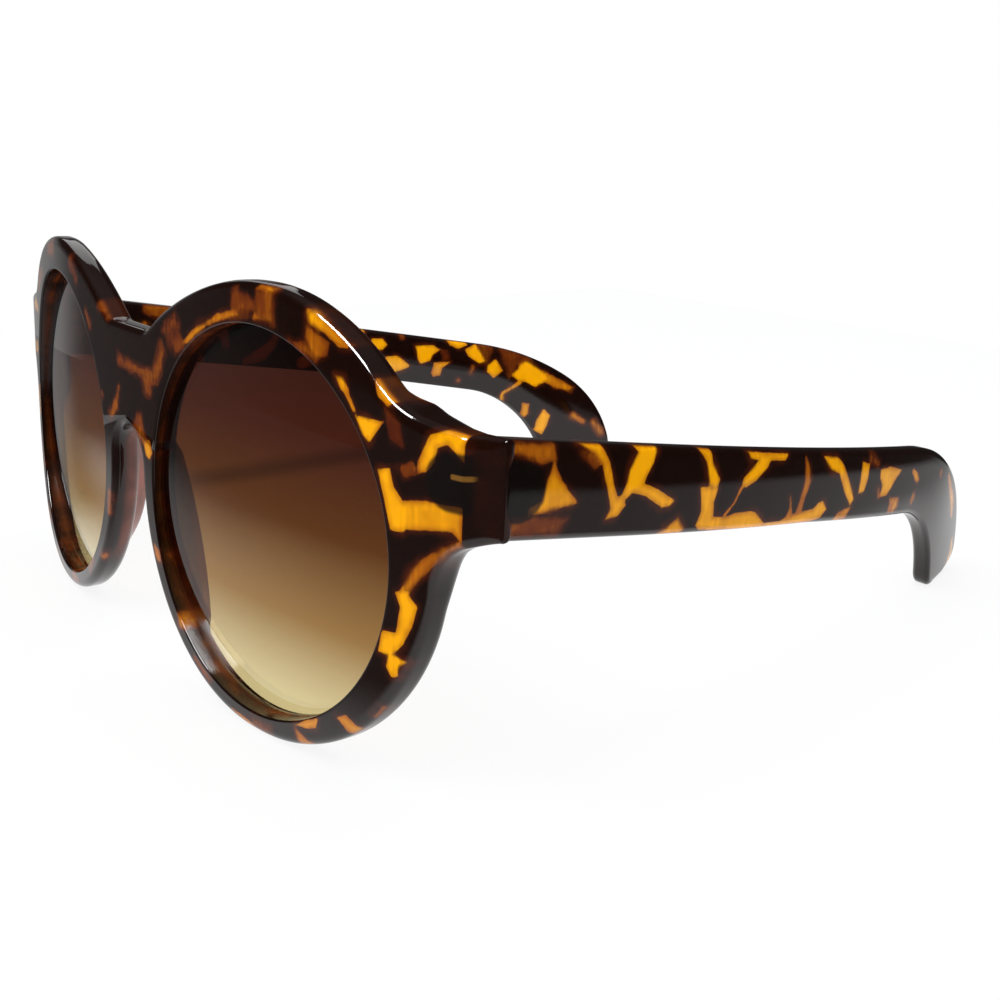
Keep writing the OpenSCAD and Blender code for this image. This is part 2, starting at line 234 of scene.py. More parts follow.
# Patches of amber in the plastic: brightness, softness of the edge in millimetres, and then either
# the corners of an outline, across and up, or the points of a stroke, with its half width as well.
LEFT_TEMPLE_PATCHES = (
    (.95, .18, (10.2, 5.9), (13.9, 5.9), (15.6, 3.6), (16.6, 1.2), (17.6, -.5), (18.5, -.2),
        (19.3, -1.5), (18.2, -2.9), (16.2, -3.3), (16.8, -2), (15.2, 1.4), (14.3, 3.4), (12.8, 4.6)),
    (.3, .8, (10.8, 4.8), (12.8, 4.8), (14, 3.4), (13, 2.8)),
    (1.0, .16, (19.3, 5.9), (23.8, 5.9), (23, 3.6), (22.2, 2.2), (21.9, 1.2), (24.5, .5), (28, -1),
        (27.2, -1.7), (25.8, -1.9), (22.5, -.4), (20, 0), (18.9, -1), (18.2, -.3), (18.8, 1.2),
        (19, 2.8), (20.2, 5)),
    (.75, .3, (25.2, -5.9), (28, -4.2), (29.3, -3.2), (31.1, -4.8), (30.6, -5.9)),
    (1.0, .16, (31.1, 5.9), (33.9, 5.6), (34.5, 3.8), (36.4, 1.7), (36.1, .5), (34.4, .8),
        (34.1, 1.8), (33.2, 3.9)),
    (.95, .16, (32.5, .8), (36.3, .6), (35.9, -1.4), (36.5, -3.3), (39, -3.4), (41, -2.9),
        (44.5, -2.7), (46, -3), (48.5, -4.6), (52.5, -4.4), (54.5, -3.7), (58, -3.2), (60.5, -3),
        (62, -2), (63, -1.8), (64.7, -3.2), (63.4, -4.5), (60, -5.2), (54, -5.7), (45, -5.9),
        (34, -5), (33.2, -4.4), (33.7, -2.5)),
    (.8, .2, (38.8, -3.2, .3), (40.3, -1.6, .2), (41.3, .5, .3)),
    (1.0, .18, (41.9, 5.3), (51.6, 5.1), (51, 4.1), (47.4, 4.2), (46.8, 3.3), (44.5, 1.5),
        (42.2, .5), (41.3, .9), (41.4, 1.8), (43.4, 3.3), (44.4, 4.2), (42.6, 4.4)),
    (.55, .35, (56.2, 4.6, .2), (57, 3, .6), (57.6, 1, .8), (57, -1, .7), (56.8, -3, .8)),
    (.7, .3, (53.6, -.9, .12), (54.3, -2.5, .35), (54.6, -4, .9)),
    (1.0, .2, (61, 4.8), (65.5, 4.5), (67.5, 3.4), (69.2, 1.8), (71.4, -.6), (72.7, -2), (72, -3),
        (70.6, -2), (68.6, -.4), (66.4, 2.1), (64, 2.6), (62.4, 3.7)),
    (.7, .35, (67.2, -5.9), (68.5, -3.9), (70.4, -3.3), (72.4, -3.2), (71.4, -5.4)),
    (1.0, .25, (73.6, 3.8), (76.2, 3.3), (76.3, 1.2), (75.6, -1), (73.8, -1.2), (73.6, 1.2)),
    (.25, .9, (76.5, 4.2, .5), (79.5, 3.2, .5)),
    (.95, .3, (80.5, 2.4), (84.3, 2.7), (89.3, 2.1), (87.4, .8), (85.8, -.8), (84.6, -2),
        (81.9, -2.2), (82, -.3), (80.7, 1)),
    (.4, .6, (80.8, -.8, .4), (81.6, -2, .5)),
    (.85, .4, (94.4, 1.6, .5), (96.2, .6, .8), (97.4, 0, .5)),
    (.6, .5, (86, -2.3), (90.2, -2.5), (90.7, -4), (89.6, -5.2), (86.8, -5), (86.6, -3.4)),
    (.45, .6, (96.7, -3.1, 1.1),),
    (.45, .8, (109.8, .6, .9),),
    (.75, .7, (115.6, -.3, .6), (118.4, -2.6, 1.0), (121.4, -5.2, 1.2), (123.8, -8.4, .7)),
    (.85, .7, (128.2, -13.6, .9), (129.2, -16, 1.2), (127.6, -17.6, .8)),
    (.8, .35, (6.6, 3.9), (8.2, 1.5), (11.2, -1.2), (9.2, -1.7), (3.8, -2.8), (3.6, -1.7), (5.4, -1),
        (5.9, 1.3)),
    (.45, .7, (-1, 5.6), (6.4, 5.6), (7, 3.8), (4.8, 3.2), (1.6, 4.2), (-1, 4.4)),
    (.2, .8, (1.4, -2.8), (10, -3), (9, -4.9), (1.2, -5.3)),
)
RIGHT_TEMPLE_PATCHES = (
    (.3, .8, (3, 3.2, .8), (6, 2, 1.3), (7.5, -1, .9)),
    (.45, .5, (11, -4.6, .9), (14, -3.6, 1.3), (16, -1.2, .8), (17.5, 1.5, .6)),
    (.32, .8, (18, 4.6, 1.2), (23, 4.4, 1.6), (28, 4.7, 1.2)),
    (.7, .3, (24.5, -2.8, 1.4), (28, -3.6, 1.6), (31, -5, 1)),
    (.6, .4, (33, 2.8, 1.2), (35, 1, 1.4), (36, -1.4, .8)),
    (.7, .3, (41, -4.4, 1), (44, -2.6, 1.5), (46.5, .2, 1.1), (47.3, 2.4, .8)),
    (.6, .4, (44, 4.9, .8), (48, 4.5, .9), (50.5, 5, .5)),
    (.8, .3, (54, -3.4, 1.5), (57, -2, 1.4), (59.2, .2, .9)),
    (.5, .5, (60.5, 4.3, .9), (62.5, 3.1, .9)),
    (.9, .3, (65.4, 6.2), (67.6, 6.3), (67.8, 4.6), (66, 4.4)),
    (1.0, .22, (69.4, 3.7), (72.2, 3.9), (73.5, 2.6), (72.3, 1.2), (71, 1.2), (69.4, 2.5)),
    (1.0, .2, (73.2, -.1), (76, .4), (77.9, -.5), (79.7, -1.7), (77.8, -2.9), (76.2, -3.5),
        (73.9, -2.2)),
    (.3, .6, (75.9, 6.1), (77.4, 6.1), (77.6, 4.2), (76.5, 4.1)),
    (1.0, .18, (80.2, 3.1), (84.6, 3.8), (86.4, 2.8), (84.9, 1.6), (84.3, 0), (82, -1), (81.2, .1),
        (80.7, 1.8)),
    (.9, .25, (85.3, -.2), (89.4, .4), (87.5, -1.4), (87.4, -3.1), (85.7, -3.7), (85, -2.9)),
    (.95, .3, (87, 6.4), (92.8, 6.7), (93.1, 4.6), (90.9, 3.5), (88.6, 4.2)),
    (.12, 1.2, (86.8, 2.8), (88.4, 3), (88.8, .7), (87.2, .5)),
    (.15, 1.4, (92.8, 6.9), (97.5, 6.9), (99.5, 4.7), (98.3, 1.7), (95.2, 5.4)),
    (1.0, .2, (92.5, 3.6), (95.2, 5.3), (96.3, 3.9), (98, 1.3), (96.5, .7), (93.5, 2.1)),
    (.5, .5, (95, -.2, .4), (94.8, -1.6, .3)),
    (1.0, .18, (100.5, 2.3), (102.5, -.4), (100.6, -2.5), (98.6, -1), (98.6, .6)),
    (.15, 1.4, (101.1, 5.3), (106.3, 4.3), (109, 3), (106, 1), (104.6, -1.2), (102.5, 1.4)),
    (1.0, .25, (106.5, 2.1), (108.2, 2.8), (110.7, 1.6), (113.3, .3), (114.6, -.4), (115, -2.4),
        (113.6, -1.9), (112.2, -2.6), (111.3, -3.4), (108.6, -2.4), (106.9, -2.5), (104.7, -1),
        (106.3, .6)),
    (.62, .6, (112.6, .9), (116.9, -.7), (120.9, -2.3), (120, -3.5), (115.9, -3), (113.6, -1.9)),
    (.85, .3, (107.2, -2.6, .6), (105.9, -3.9, .45), (103.6, -5.6, .4), (103.4, -6.4, .5),
        (104, -8.2, .6), (104.1, -9.6, .4)),
    (.85, .35, (108.6, -7.4), (110.5, -7.5), (110.7, -10), (109.9, -11.6), (108.9, -10.6)),
    (1.0, .28, (114.2, -8.3), (116.1, -9.8), (115.7, -12.8), (114.9, -14.9), (112.9, -14),
        (112.9, -11.4)),
    (.55, .5, (121.8, -9.2, .9), (124.4, -10.4, .7)),
    (.35, .8, (92, -3.8, .6),),
    (.45, .7, (127.4, -10.5, .9), (129.6, -12.6, 1)),
)
LEFT_FRONT_PATCHES = (
    (.3, 1.2, (-3, 17.4), (0, 16.6), (5, 16.4), (9.8, 16.5), (11.2, 18.2), (12.6, 20.6),
        (13.8, 19.4), (12.8, 16.6), (11, 14.6), (8, 14.7), (3, 15), (-3, 15.2)),
    (.24, 1.2, (6, 15.4), (9.8, 15.4), (9.4, 12.4), (7.4, 12.4)),
    (.26, 1.1, (13.4, 22.6), (15, 23.8), (17, 25.4), (17.8, 24), (15.6, 22.2)),
    (.28, 1, (16, 21.6), (18, 23.2), (19.8, 21.6), (18.4, 20), (17, 20)),
    (.08, 1.4, (14, 23.6), (18.4, 24.4), (18.8, 21.4), (15.4, 20.6)),
    (.72, .3, (19.2, 21.7), (20.8, 23), (23, 24.3), (25.4, 25.1), (25.3, 24.5), (22.6, 23),
        (20.2, 21.5)),
    (.66, .4, (24.8, 24.9), (28, 26.6), (32.6, 27.8), (33.4, 27), (29, 25.8), (25.4, 24.6)),
    (.2, 1.3, (31.4, 27.3), (31.6, 30), (33, 30.4), (36.5, 29.4), (37, 28.4), (35, 27.2)),
    (.6, .3, (36.5, 30.6), (37.4, 31.4), (41, 31.2), (40.2, 30.5)),
    (.22, .8, (36.7, 27), (36.9, 30.6), (40.5, 30.8), (40.4, 27)),
    (.75, .3, (36.2, 27), (36.6, 27.7), (40.3, 27.5), (40.1, 27)),
    (.78, .3, (46.6, 29.4), (48.2, 29.3), (51, 27.7), (54.2, 25.9), (53.8, 25.5), (52.6, 25.5),
        (50, 26.9), (47.2, 27.6)),
    (.42, .6, (46.8, 27.4), (49, 26.7), (51, 25.8), (50.6, 24.4), (48.4, 23.4), (47.2, 24.6),
        (46.6, 26)),
    (.28, .5, (43.5, 25.2), (47, 25.4), (48.4, 23.8), (46, 23.8)),
    (.85, .2, (51.8, 22.4), (53.4, 22), (54.5, 20.7), (54.2, 20.1), (53, 20.6)),
    (.85, .2, (53.7, 20.6, .3), (54.6, 19.5, .35), (55.3, 18.5, .25)),
    (1.0, .15, (55.4, 18), (60.1, 18), (59.2, 16.9), (57.8, 15.1), (56.8, 15.8), (56, 17)),
    (.95, .18, (57.9, 22.7), (58.7, 23), (59.5, 21.8), (61.4, 20.4), (60.4, 19.9), (58.9, 20.8)),
    (.1, .8, (60.2, 19.6), (62.4, 18), (63, 15.6), (61, 16), (60.4, 18)),
    (1.0, .15, (59.2, 12.3), (61, 12.8), (61.8, 10.7), (63.2, 9.3), (64.4, 9.4), (64.2, 6.6),
        (63.5, 5.6), (61.4, 5.4), (60.6, 8)),
    (.82, .3, (63.2, 9.3), (66, 10), (71.7, 10.3), (71.7, 6.2), (70.4, 7.2), (67, 6.6), (64, 6)),
    (.95, .22, (65, 13.4), (66.2, 13), (67.7, 14.7), (68, 16.4), (69.4, 17), (71.7, 15.2),
        (71.7, 18.5), (69, 18.6), (66.8, 17.7), (65.8, 15.6)),
    (.3, .5, (62.4, 13.2), (64.6, 14.2), (65.4, 12.8), (63.4, 12)),
    (.5, .35, (71.6, 6.6), (71.4, 5.6), (69.4, 4.4), (66.6, 1.2), (64.6, -1.2), (62.9, -1.8),
        (65, 1.6), (66.4, 3.4), (69.2, 5)),
    (1.0, .15, (64.6, -1), (62.3, -1.8), (63.2, -3.5), (62.6, -6.9), (60.4, -7.1), (59.9, -10),
        (61.5, -10), (61.2, -11.5), (62.2, -12.7), (63, -12.3), (63.2, -11), (64.3, -10.1),
        (62.4, -9.6), (63.8, -8), (65.1, -5.5), (65.8, -2.8), (64.5, -1.8)),
    (.55, .3, (60.5, -17.2, .3), (59.2, -19, .3)),
    (.75, .25, (53, -20.9), (54.7, -19.9), (57.5, -21.4), (55.6, -23.4), (54.3, -21.6)),
    (.85, .22, (49.6, -22.2), (49.3, -23.7), (47.5, -24.4), (45, -24.8), (47.2, -23.3)),
    (.6, .35, (45, -25), (50.2, -26.8), (48.2, -28), (45.8, -28.6), (45.6, -26.6)),
    (.75, .25, (31, -27.5, .2), (35, -28.1, .4), (37.8, -28.6, .15)),
    (.18, .8, (36, -27), (40, -27), (40, -28.8), (36, -28.6)),
    (.6, .7, (9.2, -9.4), (11, -10), (11.6, -11.8), (10.4, -12), (9.4, -11)),
    (.6, .7, (16.2, -18), (17.8, -18.4), (18.6, -20), (16.8, -20)),
    (.3, .9, (21, -22.6), (26, -25), (25, -25.6), (21, -23.6)),
    (.28, 1, (4.2, 9.2), (5.8, 9.4), (7, 6.2), (6.4, 5), (1.6, 6.4)),
    (.85, .3, (6.2, 5.4), (8.6, 5.9), (9.3, 4.2), (8.3, 2.9), (7, 3.4)),
)
RIGHT_FRONT_PATCHES = (
    (.3, .6, (-17, 21.5, .4), (-15, 19.5, .7)),
    (.38, .8, (-2.5, 12, .4), (-4, 9, .9), (-5.5, 7.3, .7), (-6.5, 7, .5)),
    (.3, .6, (-10, 9.6, .7)),
    (.3, .9, (-7, 22.6, 1.0), (-10, 23.4, .8)),
    (.3, .8, (-50, -19, 1.2), (-43, -23, 1.3)),
    (.5, .5, (-13, -17.8, .5), (-8, -16.2, .6)),
    (.16, .8, (-22, 26.2, .9), (-25, 28.2, 1.2)),
    (.16, .8, (-38, 29.6, 1.3), (-42, 29, 1.0)),
    (.3, .6, (-50, 24.2, 1.0), (-53, 23.6, 1.3), (-55.5, 20.8, .8)),
    (.9, .25, (-59.5, 16.5, 1.0), (-62.5, 17.4, 1.2), (-66, 16.2, .8)),
    (.9, .25, (-63, 9, 1.2), (-66.5, 8, 1.3), (-69.5, 9.4, .9), (-70, 12.5, .6)),
    (.9, .25, (-62, 1.4, .7), (-63.8, -.8, 1.2), (-63.2, -3.6, 1.0)),
    (.4, .5, (-62.6, -8.4, .5), (-60.8, -11.4, 1.1), (-58.6, -13.4, .9)),
    (.4, .5, (-54, -20.6, 1.0), (-51.5, -22.4, 1.0)),
    (.3, .5, (-44.6, -26.6, .8), (-40.5, -28, .7)),
    (.3, .5, (-31, -26.4, .9), (-28, -26.6, .8)),
    (.3, .6, (-19.6, -21.8, .8), (-17.4, -19.4, .7)),
    (.35, .6, (-8.4, -8.8, .8), (-8, -5.8, .7)),
)
# Plates of the hinges, seen dark through the plastic: middle, half length, half height
FRONT_PLATE = (69.3, 12.8, 2.9, 3.4)
TEMPLE_PLATE = (2.9, 0.0, 2.9, 3.6)
# The painted highlight along a sunk plate of the front: height, half height, distance across, half
# width
PLATE_HIGHLIGHT = (13.5, 0.3, 71.2, 1.3)
# Walls between two sides: distance from the first side and width of the rise, then distance from
# the other side and width of the fall
FRONT_WALL = (0.45, 0.9, 0.2, 0.8)
TEMPLE_WALL = (0.5, 0.9, 0.4, 0.9)
# Fades of the front's marks, a start and a width: depths behind the face, distances across, height,
# and distance from the middle of a lens
NOSE_SIDE_DEPTH = (1.3, 1.5)
PAD_DEPTH = (3.6, 1.2)
BRIDGE_X = 14.0
BRIDGE_FADE = (BRIDGE_X, -4.0)
PAD_REACH_FADE = (26.0, -4.0)
PAD_TOP_FADE = (9.0, -4.0)
INNER_WALL_FADE = (27.6, -0.8)
SLANT_FADE = (CORNER_X - 0.05, 0.15)
# Marks where there is no patch, on the slanted corner, and all over a temple
NO_PATCH = -30.0
SLANT_MARKS = {"amber": -9.0, "near": -0.5}
# A temple's plate gets no painted highlight
PLAIN_MARKS = {"hollow": 0.0, "pad": 0.0, "gleam": -1.0}


def direction(angle):
    """The unit vector at an angle in degrees."""
    return np.array([np.cos(np.radians(angle)), np.sin(np.radians(angle))])


def left_of(angle):
    """The unit vector square to the left of an angle in degrees."""
    return np.array([-np.sin(np.radians(angle)), np.cos(np.radians(angle))])


def arc(centre, radius, start, stop, count=80):
    """Points on a circle: the centre plus the radius times the cosine and sine of each angle."""
    angles = np.radians(np.linspace(start, stop, count))
    return np.asarray(centre) + radius * np.stack([np.cos(angles), np.sin(angles)], 1)


def angle_of(vector):
    """Direction of a plane vector in degrees."""
    return float(np.degrees(np.arctan2(vector[1], vector[0])))


def touching(centre, radius, point, angle, fillet, side):
    """Centre of a circle that touches a circle from outside, on its +X side, and a line through a
    point: the foot on the line moved out by the fillet's radius, then along the line until it is
    the two radii away from the circle's centre."""
    shifted = point + side * fillet * left_of(angle)
    along = float((shifted - centre) @ direction(angle))
    gap = float((shifted - centre) @ (shifted - centre))
    return shifted + (-along + np.sqrt(along ** 2 - gap + (radius + fillet) ** 2)) * direction(angle)


def unit(vectors):
    """Each vector divided by its length."""
    return vectors / np.linalg.norm(vectors, axis=1)[:, None]


def running(points):
    """The length of a line up to each of its points."""
    return np.append(0, np.cumsum(np.linalg.norm(np.diff(points, axis=0), axis=1)))


def spaced(points, length):
    """Points at equal distances along a line, its ends kept, as many as a line of a given length
    needs for the step: each one is read off the running length of its line."""
    run = running(points)
    at = np.linspace(0, run[-1], int(np.ceil(length / STEP)) + 1)
    return np.stack([np.interp(at, run, points[:, k]) for k in range(2)], 1)


def resample(points):
    """Points at equal distances along a line, without those that lie in one place."""
    points = points[np.append(True, np.diff(running(points)) > 1e-9)]
    return spaced(points, running(points)[-1])


def softened(points, passes):
    """Each point but the two ends moves to the mean of itself and its neighbours, some times over."""
    points = points.copy()
    for _ in range(passes):
        points[1:-1] = (points[:-2] + 2 * points[1:-1] + points[2:]) / 4
    return points


def inward(points):
    """Unit normals on the left of a line: its direction from point to point, turned a quarter."""
    along = unit(np.gradient(points, axis=0))
    return np.stack([-along[:, 1], along[:, 0]], 1)


def rise(value, start, width):
    """0 up to a start, 1 from a width beyond it, and three times the square less twice the cube of
    the share of the way between them. A width below 0 turns it round."""
    share = np.clip((value - start) / width, 0, 1)
    return share * share * (3 - 2 * share)


def rows_between(a, b, count):
    """Straight rows between two rows, without these two."""
    return [a + (b - a) * k / (count + 1) for k in range(1, count + 1)]


def bend(a, corner, b, count):
    """Rows round a corner: a rational quadratic curve from a to b, whose middle weight is the
    cosine of half the turn, so that a square corner with equal arms becomes a quarter circle."""
    first = corner - a
    second = b - corner
    size = np.linalg.norm(first, axis=1) * np.linalg.norm(second, axis=1)
    turn = np.where(size > 1e-9, (first * second).sum(1) / np.maximum(size, 1e-9), 1)
    weight = np.sqrt((1 + np.clip(turn, -0.9, 1)) / 2)[:, None]
    rows = []
    for k in range(count + 1):
        t = k / count
        wa, wc, wb = (1 - t) ** 2, 2 * t * (1 - t) * weight, t ** 2
        rows.append((wa * a + wc * corner + wb * b) / (wa + wc + wb))
    return rows


def leaning():
    """The lean's sine and cosine and the shift along Y and Z, in metres, between the upright front
    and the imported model, all read from the left hinge's axis in the record."""
    joint = next(j for j in frame["joints"] if j["name"] == "left_fold")
    s, c = joint["axis"][1], joint["axis"][2]
    y_shift = joint["pos_m"][1] - (c * HINGE_Y + s * HINGE_Z) * MM
    z_shift = joint["pos_m"][2] - (c * HINGE_Z - s * HINGE_Y) * MM
    return s, c, y_shift, z_shift


def lay_down(points):
    """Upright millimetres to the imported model's metres: a turn about X and a shift."""
    s, c, y_shift, z_shift = leaning()
    x, y, z = points[:, 0] * MM, points[:, 1] * MM, points[:, 2] * MM
    return np.stack([x, c * y + s * z + y_shift, c * z - s * y + z_shift], 1)


def stand_up(points):
    """The way back: the shift undone, then the turn."""
    s, c, y_shift, z_shift = leaning()
    x, y, z = points[:, 0], points[:, 1] - y_shift, points[:, 2] - z_shift
    return np.stack([x, c * y - s * z, s * y + c * z], 1) / MM


def new_piece(name, points, faces, body, replaced, material, marks=None):
    """An object from upright points in millimetres and faces, with its material. Points in one place
    are merged, the faces are turned outwards, and each mark that a function works out from the
    points' places becomes a point attribute."""
    mesh = bpy.data.meshes.new(name)
    mesh.from_pydata(lay_down(points).tolist(), [], faces.tolist())
    plane = bmesh.new()
    plane.from_mesh(mesh)
    bmesh.ops.remove_doubles(plane, verts=plane.verts, dist=MERGE_M)
    bmesh.ops.dissolve_degenerate(plane, edges=plane.edges, dist=FLAT_M)
    bmesh.ops.recalc_face_normals(plane, faces=plane.faces)
    plane.to_mesh(mesh)
    plane.free()
    mesh.materials.append(material)
    place = np.zeros(3 * len(mesh.vertices))
    mesh.vertices.foreach_get("co", place)
    place = stand_up(place.reshape(-1, 3))
    for mark, values in (marks(place) if marks else {}).items():
        held = mesh.attributes.new(mark, "FLOAT", "POINT")
        held.data.foreach_set("value", values.astype(np.float32))
    mesh.polygons.foreach_set("use_smooth", np.ones(len(mesh.polygons), bool))
    mesh.update()
    piece = bpy.data.objects.new(name, mesh)
    bpy.context.scene.collection.objects.link(piece)
    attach(piece, body)
    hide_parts(replaced)


def strip_faces(rows, columns, loop_rows, loop_columns):
    """Quads of a grid whose points are numbered row after row within each column."""
    r = np.arange(rows if loop_rows else rows - 1)
    c = np.arange(columns if loop_columns else columns - 1)
    c, r = np.meshgrid(c, r, indexing="ij")
    c, r = c.ravel(), r.ravel()
    c1, r1 = (c + 1) % columns, (r + 1) % rows
    return np.stack([c * rows + r, c1 * rows + r, c1 * rows + r1, c * rows + r1], 1)


def patch_depth(here, shape):
    """How deep points lie inside a patch, negative outside. For a stroke it is the half width, run
    evenly from point to point, less the distance to its line. For an outline it is the distance to
    the nearest side, with the sign from the count of sides that a ray along X crosses."""
    shape = np.array(shape, float)
    stroke = shape.shape[1] == 3
    if stroke:
        shape = np.vstack([shape, shape[-1:] + (1e-3, 0, 0)])
    else:
        shape = np.vstack([shape, shape[:1]])
    depth = np.full(len(here), -1e3)
    inside = np.zeros(len(here), bool)
    for a, b in zip(shape[:-1], shape[1:]):
        side = b[:2] - a[:2]
        t = np.clip((here - a[:2]) @ side / (side @ side), 0, 1)
        gap = np.linalg.norm(here - a[:2] - t[:, None] * side, axis=1)
        depth = np.maximum(depth, (a[2] + (b[2] - a[2]) * t if stroke else 0) - gap)
        if not stroke and a[1] != b[1]:
            crossed = (a[1] > here[:, 1]) != (b[1] > here[:, 1])
            inside ^= crossed & (here[:, 0] < a[0] + (here[:, 1] - a[1]) * side[0] / side[1])
    return depth if stroke else np.where(inside, -depth, depth)


def patch_marks(across, up, patches):
    """Depth in the patches, in units of their softness and in millimetres, and brightness: the
    mean of the patches' own, weighed by the exponential of three times each depth, which is held
    between -15 and 3."""
    here = np.stack([across, up], 1)
    best = np.full(len(across), NO_PATCH)
    near = np.full(len(across), NO_PATCH)
    total = np.full(len(across), 1e-30)
    tone = np.zeros(len(across))
    for brightness, soft, *shape in patches:
        depth = patch_depth(here, shape)
        best = np.maximum(best, depth / soft)
        near = np.maximum(near, depth)
        weight = np.exp(3 * np.clip(depth, -15, 3))
        total += weight
        tone += weight * brightness
    return {"amber": best, "near": near, "tone": tone / total}


def plate_mark(across, up, plate, round_side):
    """Depth inside a hinge plate's outline: a box with its far end round."""
    x, z, half_l, half_h = plate
    u = (across - x) * round_side
    v = np.abs(up - z)
    box = np.minimum(np.minimum(u + half_l, half_l - u), half_h - v)
    bow = half_h - np.hypot(np.maximum(u - (half_l - half_h), 0), v)
    return np.minimum(box, bow)


def wall_mark(depth, thickness, wall):
    """1 on the walls between two sides and 0 on the sides, with a rise and a fall between them."""
    first, first_width, last, last_width = wall
    return rise(depth, first, first_width) * rise(depth, thickness - last, -last_width)


class Front:
    """The moulded front as surfaces: columns round each lens opening, and the end piece."""

    def __init__(self, sizes, lens):
        """Keeps the sizes, and finds the two fillets that join the rim to the end piece."""
        self.s = sizes
        self.lens = lens
        self.turn = np.arcsin(LENS_X / sizes.wrap_r)
        top = np.array([HALF_W, HINGE_Z + TEMPLE_H / 2])
        low = np.array([HALF_W, HINGE_Z - TEMPLE_H / 2])
        self.top_centre = touching(OUTER_RIM, RIM_R, top, -END_FALL, TOP_FILLET_R, 1)
        self.low_centre = touching(OUTER_RIM, RIM_R, low, END_RISE, LOW_FILLET_R, -1)
        self.top = top

    def face(self, x):
        """Depth of the face: the radius less the height of the circle over x."""
        return self.s.wrap_r - np.sqrt(self.s.wrap_r ** 2 - x ** 2)

    def rear(self, x, z):
        """Depth of the rear: the inner circle of the band, and on the end piece a slope of 45
        degrees up to the seam's plane, faded out below."""
        band = self.s.wrap_r - np.sqrt((self.s.wrap_r - self.s.thickness) ** 2 - x ** 2)
        highest = SEAM_Y - REAR_GAP
        ramp = np.minimum(x - BLOCK_X, 0) + highest
        soft = np.sqrt((ramp - band) ** 2 + BLOCK_BLEND ** 2)
        block = np.minimum((ramp + band + soft) / 2, np.maximum(highest, band))
        return band + (block - band) * rise(z, *BLOCK_FADE)

    def on_face(self, points):
        """The same points, moved along Y onto the face."""
        return np.stack([points[:, 0], self.face(points[:, 0]), points[:, 2]], 1)

    def on_rear(self, points):
        """The same points, moved along Y onto the rear."""
        return np.stack([points[:, 0], self.rear(points[:, 0], points[:, 2]), points[:, 2]], 1)

    def end_face(self, x):
        """Depth of the face on the end piece: the circle, then the slanted corner."""
        circle = self.face(x)
        slant = SEAM_Y - (HALF_W - x) * SLANT
        return (circle + slant + np.sqrt((circle - slant) ** 2 + self.s.corner ** 2)) / 2

    def opening(self, angle, depth, radius):
        """A point of the lens opening: a circle in the lens's own plane, which is turned about the
        middle of the front's curve."""
        u, z = radius * np.cos(angle), radius * np.sin(angle)
        y = self.s.wrap_r - depth
        c, s = np.cos(self.turn), np.sin(self.turn)
        return np.stack([u * c + y * s, self.s.wrap_r + u * s - y * c, z], 1)

    def chains(self):
        """The outline in two lines, from the end piece over the top to the midline, and from the
        midline under the rim back to the end piece."""
        brow_centre = INNER_RIM + (RIM_R - BROW_R) * direction(BROW_ANGLE)
        notch = 180 - np.degrees(np.arcsin((BRIDGE_TOP - brow_centre[1]) / BROW_R))
        start = self.top + (HALF_W - JUNCTION_X) * np.array([-1, np.tan(np.radians(END_FALL))])
        over = np.vstack([
            start[None],
            arc(self.top_centre, TOP_FILLET_R, -90 - END_FALL, angle_of(OUTER_RIM - self.top_centre)),
            arc(OUTER_RIM, RIM_R, angle_of(self.top_centre - OUTER_RIM), 90),
            arc(INNER_RIM, RIM_R, 90, BROW_ANGLE),
            arc(brow_centre, BROW_R, BROW_ANGLE, notch),
            [[0, BRIDGE_TOP]]])
        under = np.vstack([
            arc((0, ARCH_Z), ARCH_R, 90, 0),
            arc(INNER_RIM, RIM_R, ARCH_END_ANGLE, 270),
            arc(OUTER_RIM, RIM_R, 270, 360 + angle_of(self.low_centre - OUTER_RIM)),
            arc(self.low_centre, LOW_FILLET_R, angle_of(OUTER_RIM - self.low_centre), JUNCTION_ANGLE)])
        return softened(resample(over), OVER_PASSES), softened(resample(under), UNDER_PASSES)

    def edge_rows(self, line, inset, front_y, rear_y):
        """Rows from the face round the outer wall to the rear, for points of the outline with the
        directions in which their edges are drawn in."""
        depth = rear_y(line) - front_y(line)
        front_r = np.minimum(self.s.face_edge, EDGE_SHARE * depth)[:, None]
        rear_r = np.minimum(self.s.rear_edge, EDGE_SHARE * depth)[:, None]

        def at(plan, y):
            """Points over a plan at some depth."""
            return np.stack([plan[:, 0], y, plan[:, 1]], 1)

        face_in, rear_in = line + inset * front_r, line + inset * rear_r
        face_end, rear_end = at(face_in, front_y(face_in)), at(rear_in, rear_y(rear_in))
        wall_top = at(line, front_y(line) + front_r[:, 0])
        wall_end = at(line, rear_y(line) - rear_r[:, 0])
        rows = bend(face_end, at(line, front_y(line)), wall_top, EDGE_ROWS)
        rows += rows_between(wall_top, wall_end, WALL_ROWS)
        rows += bend(wall_end, at(line, rear_y(line)), rear_end, EDGE_ROWS)
        # The wall bulges by half a sine wave from row to row
        crown = self.s.wall_crown * np.minimum(depth / FULL_CROWN_DEPTH, 1)[:, None]
        out = at(-unit(inset), np.zeros(len(line))) * crown
        return [row + out * np.sin(np.pi * k / (len(rows) - 1)) for k, row in enumerate(rows)]

    def build(self):
        """Points and faces of the left half."""
        over, under = self.chains()
        seam_line = unit((over[0] - under[-1])[None])[0]
        down = np.array([0, -1.0])

        def insets(line, first_edge, first_fade, last_edge, last_fade):
            """Directions in which edges are drawn in: square to the line, but along a shared edge at
            each end of it."""
            normal, run = inward(line), running(line)
            drawn = normal.copy()
            for edge, share in ((first_edge, rise(run, first_fade, -first_fade)),
                    (last_edge, rise(run[-1] - run, last_fade, -last_fade))):
                edge = edge / np.maximum(np.abs((normal * edge).sum(1)), LEAST_COSINE)[:, None]
                drawn = drawn + share[:, None] * (edge - normal)
            return drawn

        def front(plan):
            """Depth of the face over a plan."""
            return self.face(plan[:, 0])

